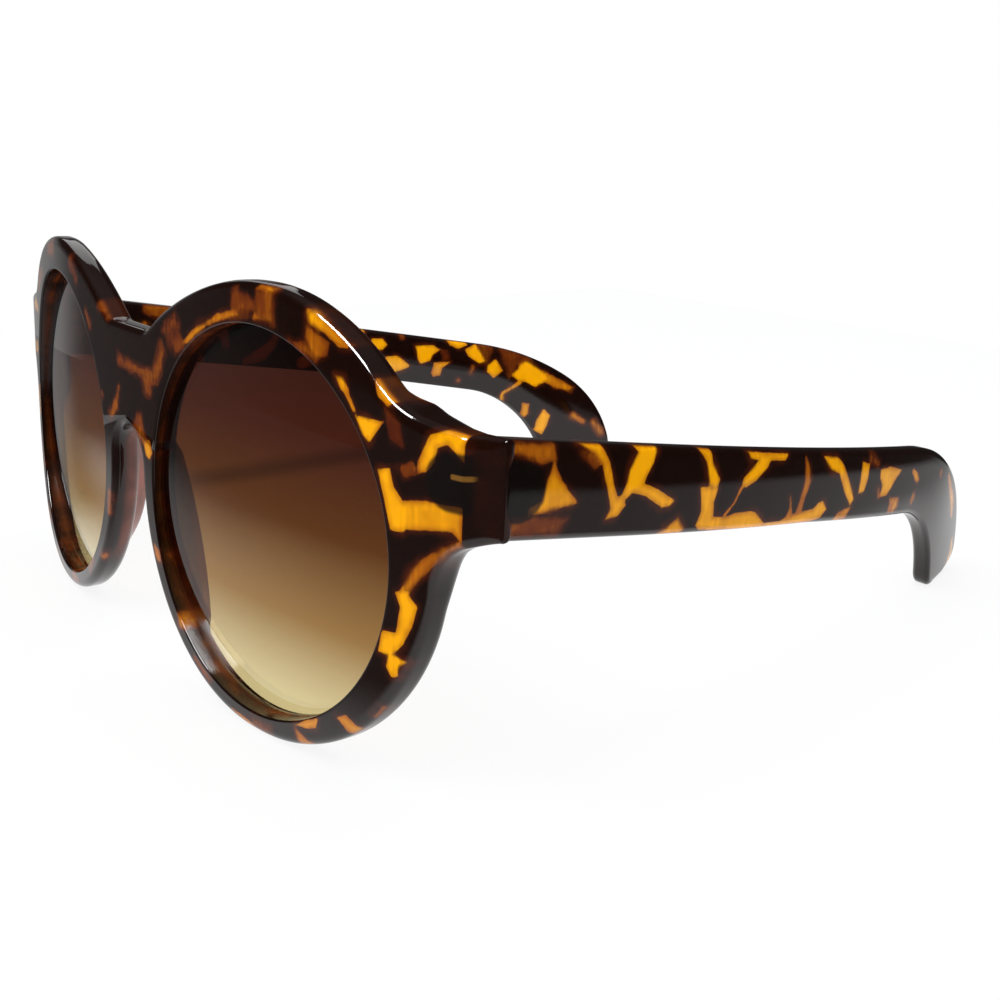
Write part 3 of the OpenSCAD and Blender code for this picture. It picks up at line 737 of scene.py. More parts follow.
        def rear(plan):
            """Depth of the rear over a plan."""
            return self.rear(plan[:, 0], plan[:, 1])

        over_in = insets(over, -seam_line, SEAM_FADE, down, MIDLINE_FADE)
        under_in = insets(under, -down, MIDLINE_FADE, seam_line, SEAM_FADE)
        edges = [np.stack(self.edge_rows(line, inset, front, rear), 1)
            for line, inset in ((over, over_in), (under, under_in))]

        def bridged(first, last, count):
            """Columns between two columns, with a face end and a rear end but no wall."""
            share = (np.arange(1, count + 1) / (count + 1))[:, None]
            face_ends = self.on_face(first[0] + (last[0] - first[0]) * share)
            rear_ends = self.on_rear(first[-1] + (last[-1] - first[-1]) * share)
            middle = np.repeat(face_ends[:, None], len(first), 1)
            middle[:, len(first) // 2:] = rear_ends[:, None]
            return middle

        edge = np.concatenate([edges[0], bridged(edges[0][-1], edges[1][0], MIDLINE_COLUMNS),
            edges[1], bridged(edges[1][-1], edges[0][0], SEAM_COLUMNS)])
        walled = np.concatenate([np.ones(len(over), bool), np.zeros(MIDLINE_COLUMNS, bool),
            np.ones(len(under), bool), np.zeros(SEAM_COLUMNS, bool)])
        columns = len(edge)
        front_end, rear_end = edge[:, 0], edge[:, -1]
        wall = edge[:, edge.shape[1] // 2]
        angle = np.arctan2(wall[:, 2], wall[:, 0] - LENS_X)

        r, lip = self.lens.opening_r, self.s.lip
        sag = self.face(r * np.cos(angle))
        corner = self.opening(angle, sag, r)
        lip_wall = self.opening(angle, sag + lip, r)
        lip_face = self.on_face(corner + unit(front_end - corner) * lip)
        back = self.on_rear(self.opening(angle, sag + self.s.thickness, r))
        back_face = self.on_rear(back + unit(rear_end - back) * lip)
        back_wall = back + unit(lip_wall - back) * lip

        face_rows = [self.on_face(row) for row in rows_between(lip_face, front_end, FACE_ROWS)]
        rear_rows = [self.on_rear(row) for row in rows_between(rear_end, back_face, REAR_ROWS)]
        pad_rows, share = self.pad_rows(wall, rear_end, back_face)
        rear_rows = [flat + (pad - flat) * share for flat, pad in zip(rear_rows, pad_rows)]

        rows = [(lip_wall + back_wall) / 2] + bend(lip_wall, corner, lip_face, LIP_ROWS) + face_rows
        first_edge = len(rows)
        rows += [edge[:, k] for k in range(edge.shape[1])]
        last_edge = len(rows) - 1
        rows += rear_rows + bend(back_face, back, back_wall, LIP_ROWS)
        points = np.stack(rows, 1)
        n_rows = points.shape[1]
        faces = strip_faces(n_rows, columns, True, True)
        column, row = faces[:, 0] // n_rows, faces[:, 0] % n_rows
        on_wall = (row >= first_edge) & (row < last_edge)
        has_wall = walled[column] & walled[(column + 1) % columns]
        faces = faces[~on_wall | has_wall]
        points = points.reshape(-1, 3)
        end_points, end_faces = self.end_piece(edge, len(over) + MIDLINE_COLUMNS + len(under))
        faces = np.vstack([faces, end_faces + len(points)])
        return np.vstack([points, end_points]), faces

    def pad_rows(self, wall, rear_end, back_face):
        """Rows of a nose pad, as many as the rear has: from the rear outer edge up a slope to the
        pad's rear edge, over it and back under to the rear lip. Its height follows a circle over
        the distance from its middle, held just inside the radius. With the rows goes the share of
        the pad in each column, 0 away from it."""
        plan = np.stack([wall[:, 0], wall[:, 2]], 1) - INNER_RIM
        angle = np.arctan2(plan[:, 1], plan[:, 0])
        off = np.angle(np.exp(1j * (angle - np.radians(PAD_ANGLE))))
        reach = np.minimum(np.abs(2 * PAD_PEAK_R * np.sin(off / 2)), 0.99 * PAD_CURVE_R)
        height = self.s.pad_depth - (PAD_CURVE_R - np.sqrt(PAD_CURVE_R ** 2 - reach ** 2))
        share = rise(height, 0, PAD_FADE)[:, None]
        height = np.maximum(height, 0.0)
        out = np.stack([np.cos(angle), np.zeros(len(angle)), np.sin(angle)], 1)
        middle = np.array([INNER_RIM[0], 0, INNER_RIM[1]])
        level = np.array([0, 1.0, 0])
        top = (self.s.thickness + height)[:, None] * level
        peak = middle + out * (PAD_PEAK_R + PAD_EDGE) + top
        edge = middle + out * PAD_PEAK_R + top
        under = edge - level * np.minimum(PAD_EDGE, PAD_UNDER_SHARE * height)[:, None]

        def toward(a, b, length):
            """Points moved from a towards b by a length, or by under half the way."""
            way = b - a
            size = np.linalg.norm(way, axis=1)[:, None]
            return a + way * np.minimum(length / np.maximum(size, 1e-6), MOST_WAY)

        slope, ledge = toward(peak, rear_end, PAD_SLOPE_ARM), toward(under, back_face, PAD_UNDER_ARM)
        on_slope, at_peak, at_edge, at_under = PAD_ROWS
        rows = rows_between(rear_end, slope, on_slope)
        rows += bend(slope, peak, toward(peak, edge, PAD_EDGE_ARM), at_peak)
        rows += bend(toward(edge, peak, PAD_EDGE_ARM), edge, toward(edge, under, PAD_EDGE_ARM), at_edge)
        rows += bend(toward(under, edge, PAD_UNDER_ARM), under, ledge, at_under)
        return rows + rows_between(ledge, back_face, REAR_ROWS - len(rows)), share

    def end_piece(self, edge, last):
        """Sections of the end piece from the columns' seam line to the temple's seam, each a closed
        line of face, upper wall, rear and lower wall. The seam line starts at column last."""
        top_rows, low_rows = edge[0], edge[last - 1]
        seam = edge[last:last + SEAM_COLUMNS]
        x_low = self.low_centre[0] + LOW_FILLET_R * np.cos(np.radians(JUNCTION_ANGLE))
        crisp = CORNER_X + np.array(CORNER_SECTIONS)
        x_round, x_end = HALF_W - END_ROUND, HALF_W - END_GAP
        quarter = np.linspace(0, np.pi / 2, ROUND_SECTIONS)
        early = np.linspace(0, 1, END_SECTIONS)[1:-1]
        late = np.concatenate([crisp, np.linspace(crisp[-1], x_round, FLAT_SECTIONS)[1:-1],
            x_round + (x_end - x_round) * np.sin(quarter)])
        top_x, low_x = (np.append(x + (crisp[0] - x) * early, late) for x in (JUNCTION_X, x_low))
        middle_y = SEAM_Y - END_MIDDLE
        squeeze = np.append(np.ones(len(top_x) - ROUND_SECTIONS), np.cos(quarter))
        top_z = self.top[1] + (HALF_W - top_x) * np.tan(np.radians(END_FALL))
        x_on = np.clip((low_x - self.low_centre[0]) / LOW_FILLET_R, -1, 0)
        low_z = self.low_centre[1] + LOW_FILLET_R * np.sqrt(1 - x_on ** 2)
        top_line, low_line = np.stack([top_x, top_z], 1), np.stack([low_x, low_z], 1)
        along = unit(top_line - low_line)
        top_normal = -left_of(-END_FALL)
        low_normal = np.stack([x_on, np.sqrt(1 - x_on ** 2)], 1)
        top_in = -along / (-(along * top_normal).sum(1))[:, None]
        low_in = along / (along * low_normal).sum(1)[:, None]

        def front(plan):
            """Depth of the face, squeezed towards the middle at the rounded end."""
            return middle_y + (self.end_face(plan[:, 0]) - middle_y) * squeeze

        def rear(plan):
            """Depth of the rear, squeezed in the same way."""
            return middle_y + (self.rear(plan[:, 0], plan[:, 1]) - middle_y) * squeeze

        top_edge, low_edge = (np.stack(self.edge_rows(line, inset, front, rear), 1)
            for line, inset in ((top_line, top_in), (low_line, low_in)))

        def across(a, b, surface):
            """Straight rows between two edges, moved along Y onto a surface."""
            rows = rows_between(a, b, SEAM_COLUMNS)
            for row in rows:
                row[:, 1] = surface(row[:, [0, 2]])
            return np.stack(rows, 1)

        face = across(low_edge[:, 0], top_edge[:, 0], front)
        back = across(top_edge[:, -1], low_edge[:, -1], rear)
        loops = np.concatenate([face, top_edge, back, low_edge[:, ::-1]], 1)
        first = np.concatenate([seam[:, 0], top_rows, seam[::-1, -1], low_rows[::-1]])
        loops = np.concatenate([first[None], loops])
        return loops.reshape(-1, 3), strip_faces(loops.shape[1], len(loops), True, False)


def temple_plan(along, across):
    """How far X of a temple's side lies beyond the front's half width, at a distance along: the
    outer curve's straight, circle and second straight, less the depth across divided by the cosine
    of the heading."""
    start, stop = np.radians(FIRST_HEADING), np.radians(LAST_HEADING)
    first_end = STRAIGHT * left_of(FIRST_HEADING)
    centre = first_end - SIDE_R * direction(FIRST_HEADING)
    last = centre + SIDE_R * direction(LAST_HEADING)
    heading = np.clip(np.arcsin(np.clip((along - centre[1]) / SIDE_R, -1, 1)), start, stop)
    on_curve = centre[0] + SIDE_R * np.cos(heading)
    beyond = np.where(along < first_end[1], along - first_end[1], np.maximum(along - last[1], 0))
    return on_curve - beyond * np.tan(heading) - across / np.cos(heading)


def temple_points(along, up, across):
    """Upright points of the left temple: its plan, dropped about the seam's middle."""
    x = HALF_W + temple_plan(along, across)
    c, s = np.cos(DROP), np.sin(DROP)
    return np.stack([x, SEAM_Y + along * c + up * s, HINGE_Z - along * s + up * c], -1)


def temple_chains():
    """The temple's upper and lower outline, from the seam to the middle of the cut end."""
    h = TEMPLE_H / 2
    top_centre = np.array([HOOK_A, h - WAIST_CUT - HOOK_R])
    end_centre = top_centre + (HOOK_R - HOOK_END_R) * direction(90 - HOOK_TURN)
    back_centre = end_centre + (HOOK_END_R - TIP_R) * direction(90 - HOOK_SLOPE)
    low_centre = np.array([HOOK_A - HOOK_LEAD, -h - HOOK_LOW_R])
    tip_angle = TIP_SLOPE - 90
    tip = TIP_R * direction(tip_angle)
    front_centre = touching(low_centre, HOOK_LOW_R, back_centre + tip, TIP_SLOPE, TIP_R, 1)
    front_angle = angle_of(front_centre - low_centre)
    middle = (front_centre + back_centre) / 2 + tip
    start, lean = SEAM_GAP / np.cos(DROP), h * np.tan(DROP)
    upper = [np.array([[start - lean, h], [start - lean + 1e-3, h]]),
        arc(top_centre, HOOK_R, 90, 90 - HOOK_TURN),
        arc(end_centre, HOOK_END_R, 90 - HOOK_TURN, 90 - HOOK_SLOPE),
        arc(back_centre, TIP_R, 90 - HOOK_SLOPE, tip_angle), middle[None]]
    lower = [np.array([[start + lean, -h], [WAIST_A, WAIST_CUT - h]]),
        arc(low_centre, HOOK_LOW_R, 90, front_angle),
        arc(front_centre, TIP_R, front_angle - 180, tip_angle), middle[None]]
    return upper, lower


def paired(upper, lower):
    """Both outlines with the same number of points: the long stretches up to the hook, the hook's
    curves and the round end, each cut into equal shares."""
    top = [np.vstack([upper[0], upper[1][:1]]), np.vstack(upper[1:3]), np.vstack(upper[3:])]
    low = [np.vstack([lower[0], lower[1][:1]]), lower[1], np.vstack(lower[2:])]
    lines = [[], []]
    for pair in zip(top, low):
        longest = max(running(line)[-1] for line in pair)
        for found, line in zip(lines, pair):
            found.append(spaced(line, longest)[1 if found else 0:])
    return np.vstack(lines[0]), np.vstack(lines[1])


def build_temple(sizes):
    """Points and faces of the left temple: closed sections from the seam to the cut end, with
    rounded long edges, sides that are crowned between them and a flat end at the seam."""
    upper, lower = (softened(line, TEMPLE_PASSES) for line in paired(*temple_chains()))
    thick, edge, half = sizes.thickness, sizes.edge, sizes.thickness / 2

    def wall(line, normal):
        """Rows from the outer side round a long wall to the inner side."""
        def at(inset, across):
            """The line drawn in by an inset, at some depth across."""
            return np.column_stack([line + normal * inset, np.full(len(line), across)])

        rows = bend(at(edge, 0), at(0, 0), at(0, edge), EDGE_ROWS)
        rows += rows_between(at(0, edge), at(0, thick - edge), TEMPLE_WALL_ROWS)
        return rows + bend(at(0, thick - edge), at(0, thick), at(edge, thick), EDGE_ROWS)

    top_wall, low_wall = wall(upper, -inward(upper)), wall(lower, inward(lower))
    outer = rows_between(low_wall[0], top_wall[0], TEMPLE_SIDE_ROWS)
    inner = rows_between(top_wall[-1], low_wall[-1], TEMPLE_SIDE_ROWS)
    grid = np.stack(outer + top_wall + inner + low_wall[::-1], 1)
    # The walls are drawn together by the crown, and the sides by ever less of it towards their
    # middle: by the square of the distance from it
    flat = np.ones(len(top_wall))
    bow = (2 * np.arange(1, TEMPLE_SIDE_ROWS + 1) / (TEMPLE_SIDE_ROWS + 1) - 1) ** 2
    height = np.linalg.norm(top_wall[0][:, :2] - low_wall[0][:, :2], axis=1)
    crown = sizes.crown * np.minimum(height / FULL_CROWN_HEIGHT, 1)[:, None]
    drawn = crown * np.concatenate([bow, flat, bow, flat])
    grid[..., 2] = half + (grid[..., 2] - half) * (1 - drawn / half)
    # The end at the seam: rings with a rounded edge, the first drawn together to its middle line
    first, middle, cap = grid[0], grid[0].mean(0), sizes.end_edge
    ends = []
    for turn in np.linspace(np.pi / 2, 0, CAP_RINGS)[:-1]:
        ring = first.copy()
        scale = 1 - 2 * cap / np.ptp(first, axis=0)[1:] * (1 - np.cos(turn))
        ring[:, 1:] = middle[1:] + (first[:, 1:] - middle[1:]) * scale
        ring[:, 0] += (first[:, 1] - ring[:, 1]) * np.tan(DROP) + cap * (1 - np.sin(turn))
        ends.append(ring)
    line = ends[0].copy()
    line[:, 2] = middle[2]
    loops = np.concatenate([line[None], np.stack(ends), grid[1:]])
    points = temple_points(loops[..., 0], loops[..., 1], loops[..., 2])
    return points.reshape(-1, 3), strip_faces(loops.shape[1], len(loops), True, False)


def temple_place(points):
    """Distance along and height up a temple for upright points: the drop undone."""
    y, z = points[:, 1] - SEAM_Y, points[:, 2] - HINGE_Z
    c, s = np.cos(DROP), np.sin(DROP)
    return y * c - z * s, y * s + z * c


def build_lens(lens, wrap_r):
    """Points and faces of the left lens: two spherical faces about the middle of the front's curve
    and the rim between them, in rings from the middle out and back."""
    reach = lens.opening_r + lens.groove
    radii = np.linspace(0, reach, LENS_RINGS)
    angles = np.linspace(0, 2 * np.pi, LENS_COLUMNS, endpoint=False)
    rings = []
    for setback, order in ((lens.setback, radii), (lens.setback + lens.thickness, radii[::-1])):
        for radius in order:
            u, z = radius * np.cos(angles), radius * np.sin(angles)
            y = -np.sqrt((wrap_r - setback) ** 2 - u ** 2 - z ** 2)
            rings.append(np.stack([u, y, z], 1))
    grid = np.stack(rings)
    turn = np.arcsin(LENS_X / wrap_r)
    c, s = np.cos(turn), np.sin(turn)
    x = grid[..., 0] * c - grid[..., 1] * s
    y = wrap_r + grid[..., 0] * s + grid[..., 1] * c
    points = np.stack([x, y, grid[..., 2]], -1).reshape(-1, 3)
    return points, strip_faces(len(angles), len(rings), True, False)


def mirrored(points, faces):
    """The same surface on the other side of the midline, its faces turned back outwards."""
    return points * (-1, 1, 1), faces[:, ::-1]


def on_both_sides(points, faces):
    """The name, points and faces of a left piece and of its mirror image."""
    return ("left", points, faces), ("right", *mirrored(points, faces))


class Sock:
    """A shader socket on which sums and products add their own Math nodes."""

    def __init__(self, tree, socket):
        self.tree = tree
        self.socket = socket

    def _maths(self, operation, *values):
        """A Math node on values or sockets."""
        return make_node(self.tree, "ShaderNodeMath", {"operation": operation}, dict(enumerate(values)))

    def __add__(self, other):
        return self._maths("ADD", self, other)

    def __sub__(self, other):
        return self._maths("SUBTRACT", self, other)

    def __mul__(self, other):
        return self._maths("MULTIPLY", self, other)

    def __rsub__(self, other):
        return self._maths("SUBTRACT", other, self)

    __radd__ = __add__
    __rmul__ = __mul__

    def clamped(self):
        """This value held between 0 and 1."""
        return make_node(self.tree, "ShaderNodeClamp", {}, {0: self})

    def ramp(self, low, high):
        """0 below low, 1 above high and a smooth rise between them."""
        return make_node(self.tree, "ShaderNodeMapRange", {"interpolation_type": "SMOOTHSTEP"},
            {"Value": self, "From Min": low, "From Max": high})


def make_node(tree, kind, settings, inputs, output=0):
    """A node of any kind: its settings first, then the values or links of its sockets."""
    made = tree.nodes.new(kind)
    for key, value in settings.items():
        if key == "stops":
            for k, (place, tint) in enumerate(value):
                stop = made.color_ramp.elements[k] if k < 2 else made.color_ramp.elements.new(place)
                stop.position = place
                stop.color = (*tint, 1)
        else:
            setattr(made, key, value)
    for key, value in inputs.items():
        if isinstance(value, Sock):
            tree.links.new(value.socket, made.inputs[key])
        elif isinstance(value, (tuple, list)) and len(value) == 3 and made.inputs[key].type == "RGBA":
            made.inputs[key].default_value = (*value, 1)
        else:
            made.inputs[key].default_value = value
    return Sock(tree, made.outputs[output])


def blend_colours(tree, share, a, b):
    """A Mix node on colours."""
    return make_node(tree, "ShaderNodeMix", {"data_type": "RGBA"}, {0: share, 6: a, 7: b}, 2)


def noise(tree, place, scale, detail):
    """Noise with a scale and a detail, on a place."""
    inputs = {"Vector": place, "Scale": scale, "Detail": detail}
    return make_node(tree, "ShaderNodeTexNoise", {}, inputs)


def bump(tree, height, strength, distance):
    """A Bump node on a height."""
    inputs = {"Strength": strength, "Distance": distance, "Height": height}
    return make_node(tree, "ShaderNodeBump", {}, inputs)


def drawn_out(tree, place, scale):
    """A place stretched by three scales, so that noise on it runs in lines."""
    return make_node(tree, "ShaderNodeMapping", {}, {"Vector": place, "Scale": scale})


def object_place(tree):
    """Object coordinates."""
    return make_node(tree, "ShaderNodeTexCoord", {}, {}, "Object")


def axes(tree, vector):
    """The three values of a vector."""
    split = make_node(tree, "ShaderNodeSeparateXYZ", {}, {0: vector})
    return [Sock(tree, output) for output in split.socket.node.outputs]


def ray(tree, kind):
    """1 for the rays of a kind and 0 for all others."""
    return make_node(tree, "ShaderNodeLightPath", {}, {}, f"Is {kind} Ray")


def blend_shaders(tree, share, a, b):
    """A Mix Shader node."""
    return make_node(tree, "ShaderNodeMixShader", {}, {0: share, 1: a, 2: b})


def new_material(name):
    """A material with only its output, and that output's surface socket."""
    material = bpy.data.materials.new(name)
    material.use_nodes = True
    tree = material.node_tree
    tree.nodes.clear()
    return material, tree, tree.nodes.new("ShaderNodeOutputMaterial").inputs["Surface"]


def attribute(tree, name):
    """A point attribute's value."""
    return make_node(tree, "ShaderNodeAttribute", {"attribute_name": name}, {}, 2)


def shell_material(colours):
    """Polished tortoiseshell: amber depth and brightness from the piece's marks, their edges
    roughened by noise and softened in places, with red brown round them over a nearly black brown.
    It is duller on the walls and half matt on the inner walls of the lens openings. The nose pads
    are painted a lighter red brown for the light that shines through them, and the plates of the
    hinges show dark deep inside, with a painted highlight along the front's plates."""
    material, tree, surface = new_material("tortoiseshell")
    place = object_place(tree)
    fine = noise(tree, place, 800.0, 3.0)
    cloud = noise(tree, place, 230.0, 2.0)
    speck = noise(tree, place, 3200.0, 1.0)
    near = attribute(tree, "near")
    wall = attribute(tree, "wall")
    hollow = attribute(tree, "hollow")
    spread = 0.5 + cloud.ramp(0.5, 0.68) * 1.8 + wall * 1.5
    depth = attribute(tree, "amber") + (fine - 0.5) * 1.3
    inside = depth.ramp(spread * -0.5, spread)
    halo = (near + (cloud - 0.5) * 2.4).ramp(-0.9, 0.3)
    lines = noise(tree, drawn_out(tree, place, (1500.0, 1500.0, 110.0)), 1.0, 1.0)
    tone = attribute(tree, "tone") * (near.ramp(-0.2, 0.9) * 0.35 + 0.65) + (cloud - 0.5) * 0.7
    tone = tone + (lines - 0.5) * cloud.ramp(0.42, 0.6) * 0.5
    tone = (tone * (1 - wall * 0.5)).clamped()
    dark, brown, rust, light, gold, thin = (tuple(getattr(colours, name)) for name in (
        "shell_dark", "shell_brown", "shell_rust", "shell_amber", "shell_gold", "pad"))
    stops = ((0.0, brown), (1.0, gold), (0.22, rust), (0.52, light))
    amber = make_node(tree, "ShaderNodeValToRGB", {"stops": stops}, {0: tone})
    base = blend_colours(tree, halo * 0.75 * (1 - wall * 0.7), dark, brown)
    mottle = cloud.ramp(0.35, 0.65)
    base = blend_colours(tree, hollow * (mottle * 0.6 + 0.2), base, rust)
    # Painted light on the nose pads: a lighter red brown for the light that shines through them
    pad = attribute(tree, "pad")
    base = blend_colours(tree, pad * (mottle * 0.35 + 0.65), base, thin)
    body = blend_colours(tree, inside * (1 - wall * 0.85) * (1 - hollow * 0.6) * (1 - pad), base, amber)
    plate = attribute(tree, "plate").ramp(-0.3, 0.25)
    # Painted highlight on the front's sunk plate: a gold brown line over the plate's dark colour
    gleam = attribute(tree, "gleam").ramp(-0.12, 0.12)
    plate_and_highlight = blend_colours(tree, gleam, (0.004, 0.0025, 0.002), (0.2, 0.09, 0.015))
    body = blend_colours(tree, plate * 0.88, body, plate_and_highlight)
    shader = make_node(tree, "ShaderNodeBsdfPrincipled", {}, {"Base Color": body, "IOR": 1.5,
        "Roughness": 0.04 + speck * 0.04 + hollow * 0.2, "Normal": bump(tree, speck, 0.02, 0.0002)})
    matt = make_node(tree, "ShaderNodeBsdfPrincipled", {}, {"Base Color": body, "Roughness": 1.0,
        "Specular IOR Level": 0.0})
    tree.links.new(blend_shaders(tree, hollow * 0.75, shader, matt).socket, surface)
    return material


def lens_material(colours, low, high):
    """Tinted clear plastic: darker at the top, its tint fading to a pale sand colour below."""
    material, tree, surface = new_material("gradient_lens")
    place = object_place(tree)
    height = make_node(tree, "ShaderNodeMapRange", {}, {"Value": axes(tree, place)[2],
        "From Min": low, "From Max": high})
    haze = noise(tree, place, 60.0, 1.0)
    tint = make_node(tree, "ShaderNodeValToRGB", {"stops": ((0.06, colours.lens_bottom),
        (0.93, colours.lens_top), (0.3, colours.lens_lower), (0.52, colours.lens_middle),
        (0.74, colours.lens_upper))}, {0: (height + (haze - 0.5) * 0.02).clamped()})
    shader = make_node(tree, "ShaderNodeBsdfPrincipled", {}, {"Base Color": tint, "Roughness": 0.0,
        "IOR": 1.5, "Specular IOR Level": 0.9, "Transmission Weight": 1.0})
    tree.links.new(shader.socket, surface)
    return material


def steel_material(colours):
    """Brushed steel: fine noise drawn out along the parts, in the colour, gloss and surface."""
    material, tree, surface = new_material("hinge_steel")
    place = object_place(tree)
    grain = noise(tree, drawn_out(tree, place, (900.0, 900.0, 7000.0)), 1.0, 2.0)
    worn = noise(tree, place, 400.0, 2.0)
    steel = tuple(colours.steel)
    tint = blend_colours(tree, worn * 0.5 + grain * 0.3, tuple(0.75 * k for k in steel), steel)
    shader = make_node(tree, "ShaderNodeBsdfPrincipled", {}, {"Base Color": tint, "Metallic": 1.0,
        "Roughness": 0.22 + grain * 0.2, "Normal": bump(tree, grain, 0.15, 0.00005)})
    tree.links.new(shader.socket, surface)
    return material


def chosen():
    """The sizes and colours set in the sidebar."""
    return bpy.context.scene.sunglasses


class SUNGLASSES_OT_front(bpy.types.Operator):
    """Builds the moulded front with its nose pads and end pieces"""
    bl_idname = "sunglasses.front"
    bl_label = "Front"

    def execute(self, context):
        """Both halves in one mesh, with the amber, the sunk plates and the painted highlight on them as
        marks.
        """
        sizes = chosen().front
        shape = Front(sizes, chosen().lens)
        points, faces = shape.build()
        other, other_faces = mirrored(points, faces)

        def marks(place):
            """The marks of the front, worked out from the points' upright places."""
            x, z = place[:, 0], place[:, 2]
            left = patch_marks(x, z, LEFT_FRONT_PATCHES)
            right = patch_marks(x, z, RIGHT_FRONT_PATCHES)
            # Near the midline a patch of either side may reach across it
            on_right = np.where(np.abs(x) < BRIDGE_X, right["near"] > left["near"], x <= 0)
            found = {key: np.where(on_right, right[key], left[key]) for key in left}
            x = np.abs(x)
            depth = place[:, 1] - shape.face(np.minimum(x, HALF_W))
            side = wall_mark(depth, sizes.thickness, FRONT_WALL)
            inner = rise(np.hypot(x - LENS_X, z), *INNER_WALL_FADE)
            found["wall"] = side * (1 - inner)
            found["hollow"] = side * inner
            # Where the painted light through the thin nose pads goes: behind the pads and, at half
            # strength, on the sides of the bridge
            nose_side = rise(depth, *NOSE_SIDE_DEPTH) * rise(x, *BRIDGE_FADE) * (1 - inner)
            behind = np.maximum(rise(depth, *PAD_DEPTH), nose_side * 0.5)
            found["pad"] = behind * rise(x, *PAD_REACH_FADE) * rise(z, *PAD_TOP_FADE)
            slanted = rise(x, *SLANT_FADE)
            for name, value in SLANT_MARKS.items():
                found[name] = found[name] * (1 - slanted) + value * slanted
            found["plate"] = plate_mark(x, z, FRONT_PLATE, -1)
            # The painted highlight: a thin band along the front's sunk plate
            highlight_z, half_h, highlight_x, half_l = PLATE_HIGHLIGHT
            found["gleam"] = np.minimum(half_h - np.abs(z - highlight_z), half_l - np.abs(x - highlight_x))
            return found

        faces = np.vstack([faces, other_faces + len(points)])
        new_piece("front_shell", np.vstack([points, other]), faces, "front", "front_frame",
            shell_material(chosen().colours), marks)
        return {"FINISHED"}


class SUNGLASSES_OT_temples(bpy.types.Operator):
    """Builds both temples"""
    bl_idname = "sunglasses.temples"
    bl_label = "Temples"

    def execute(self, context):
        """The right temple mirrors the left one and has its own amber."""
        sizes = chosen().temple
        tables = {"left": LEFT_TEMPLE_PATCHES, "right": RIGHT_TEMPLE_PATCHES}
        for side, points, faces in on_both_sides(*build_temple(sizes)):

            def marks(place):
                """The marks of this temple, worked out from the points' upright places."""
                along, up = temple_place(place)
                found = patch_marks(along, up, tables[side])
                depth = HALF_W + temple_plan(along, 0) - np.abs(place[:, 0])
                found["wall"] = wall_mark(depth, sizes.thickness, TEMPLE_WALL)
                found["plate"] = plate_mark(along, up, TEMPLE_PLATE, 1)
                found.update({name: np.full(len(depth), value) for name, value in PLAIN_MARKS.items()})
                return found

            new_piece(side + "_temple_shell", points, faces, side + "_temple",
                "temple_" + side, bpy.data.materials["tortoiseshell"], marks)
        return {"FINISHED"}


class SUNGLASSES_OT_lenses(bpy.types.Operator):
    """Builds both tinted lenses"""
    bl_idname = "sunglasses.lenses"
    bl_label = "Lenses"

    def execute(self, context):
        """One piece for each side."""
        lowest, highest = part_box("lens_left")
        material = lens_material(chosen().colours, lowest[2], highest[2])
        surface = build_lens(chosen().lens, chosen().front.wrap_r)
        for side, points, faces in on_both_sides(*surface):
            new_piece(side + "_tinted_lens", points, faces, "front", "lens_" + side, material)
        return {"FINISHED"}


class SUNGLASSES_OT_hinges(bpy.types.Operator):
    """Gives the hinge leaves and screws their steel"""
    bl_idname = "sunglasses.hinges"
    bl_label = "Hinge finish"

    def execute(self, context):
        """The CAD nodes keep their shape and take the material on their slots."""
        material = steel_material(chosen().colours)
        for name, node in frame["nodes"].items():
            if "hinge" in name:
                if not node.material_slots:
                    node.data.materials.append(material)
                for slot in node.material_slots:
                    slot.material = material
        return {"FINISHED"}


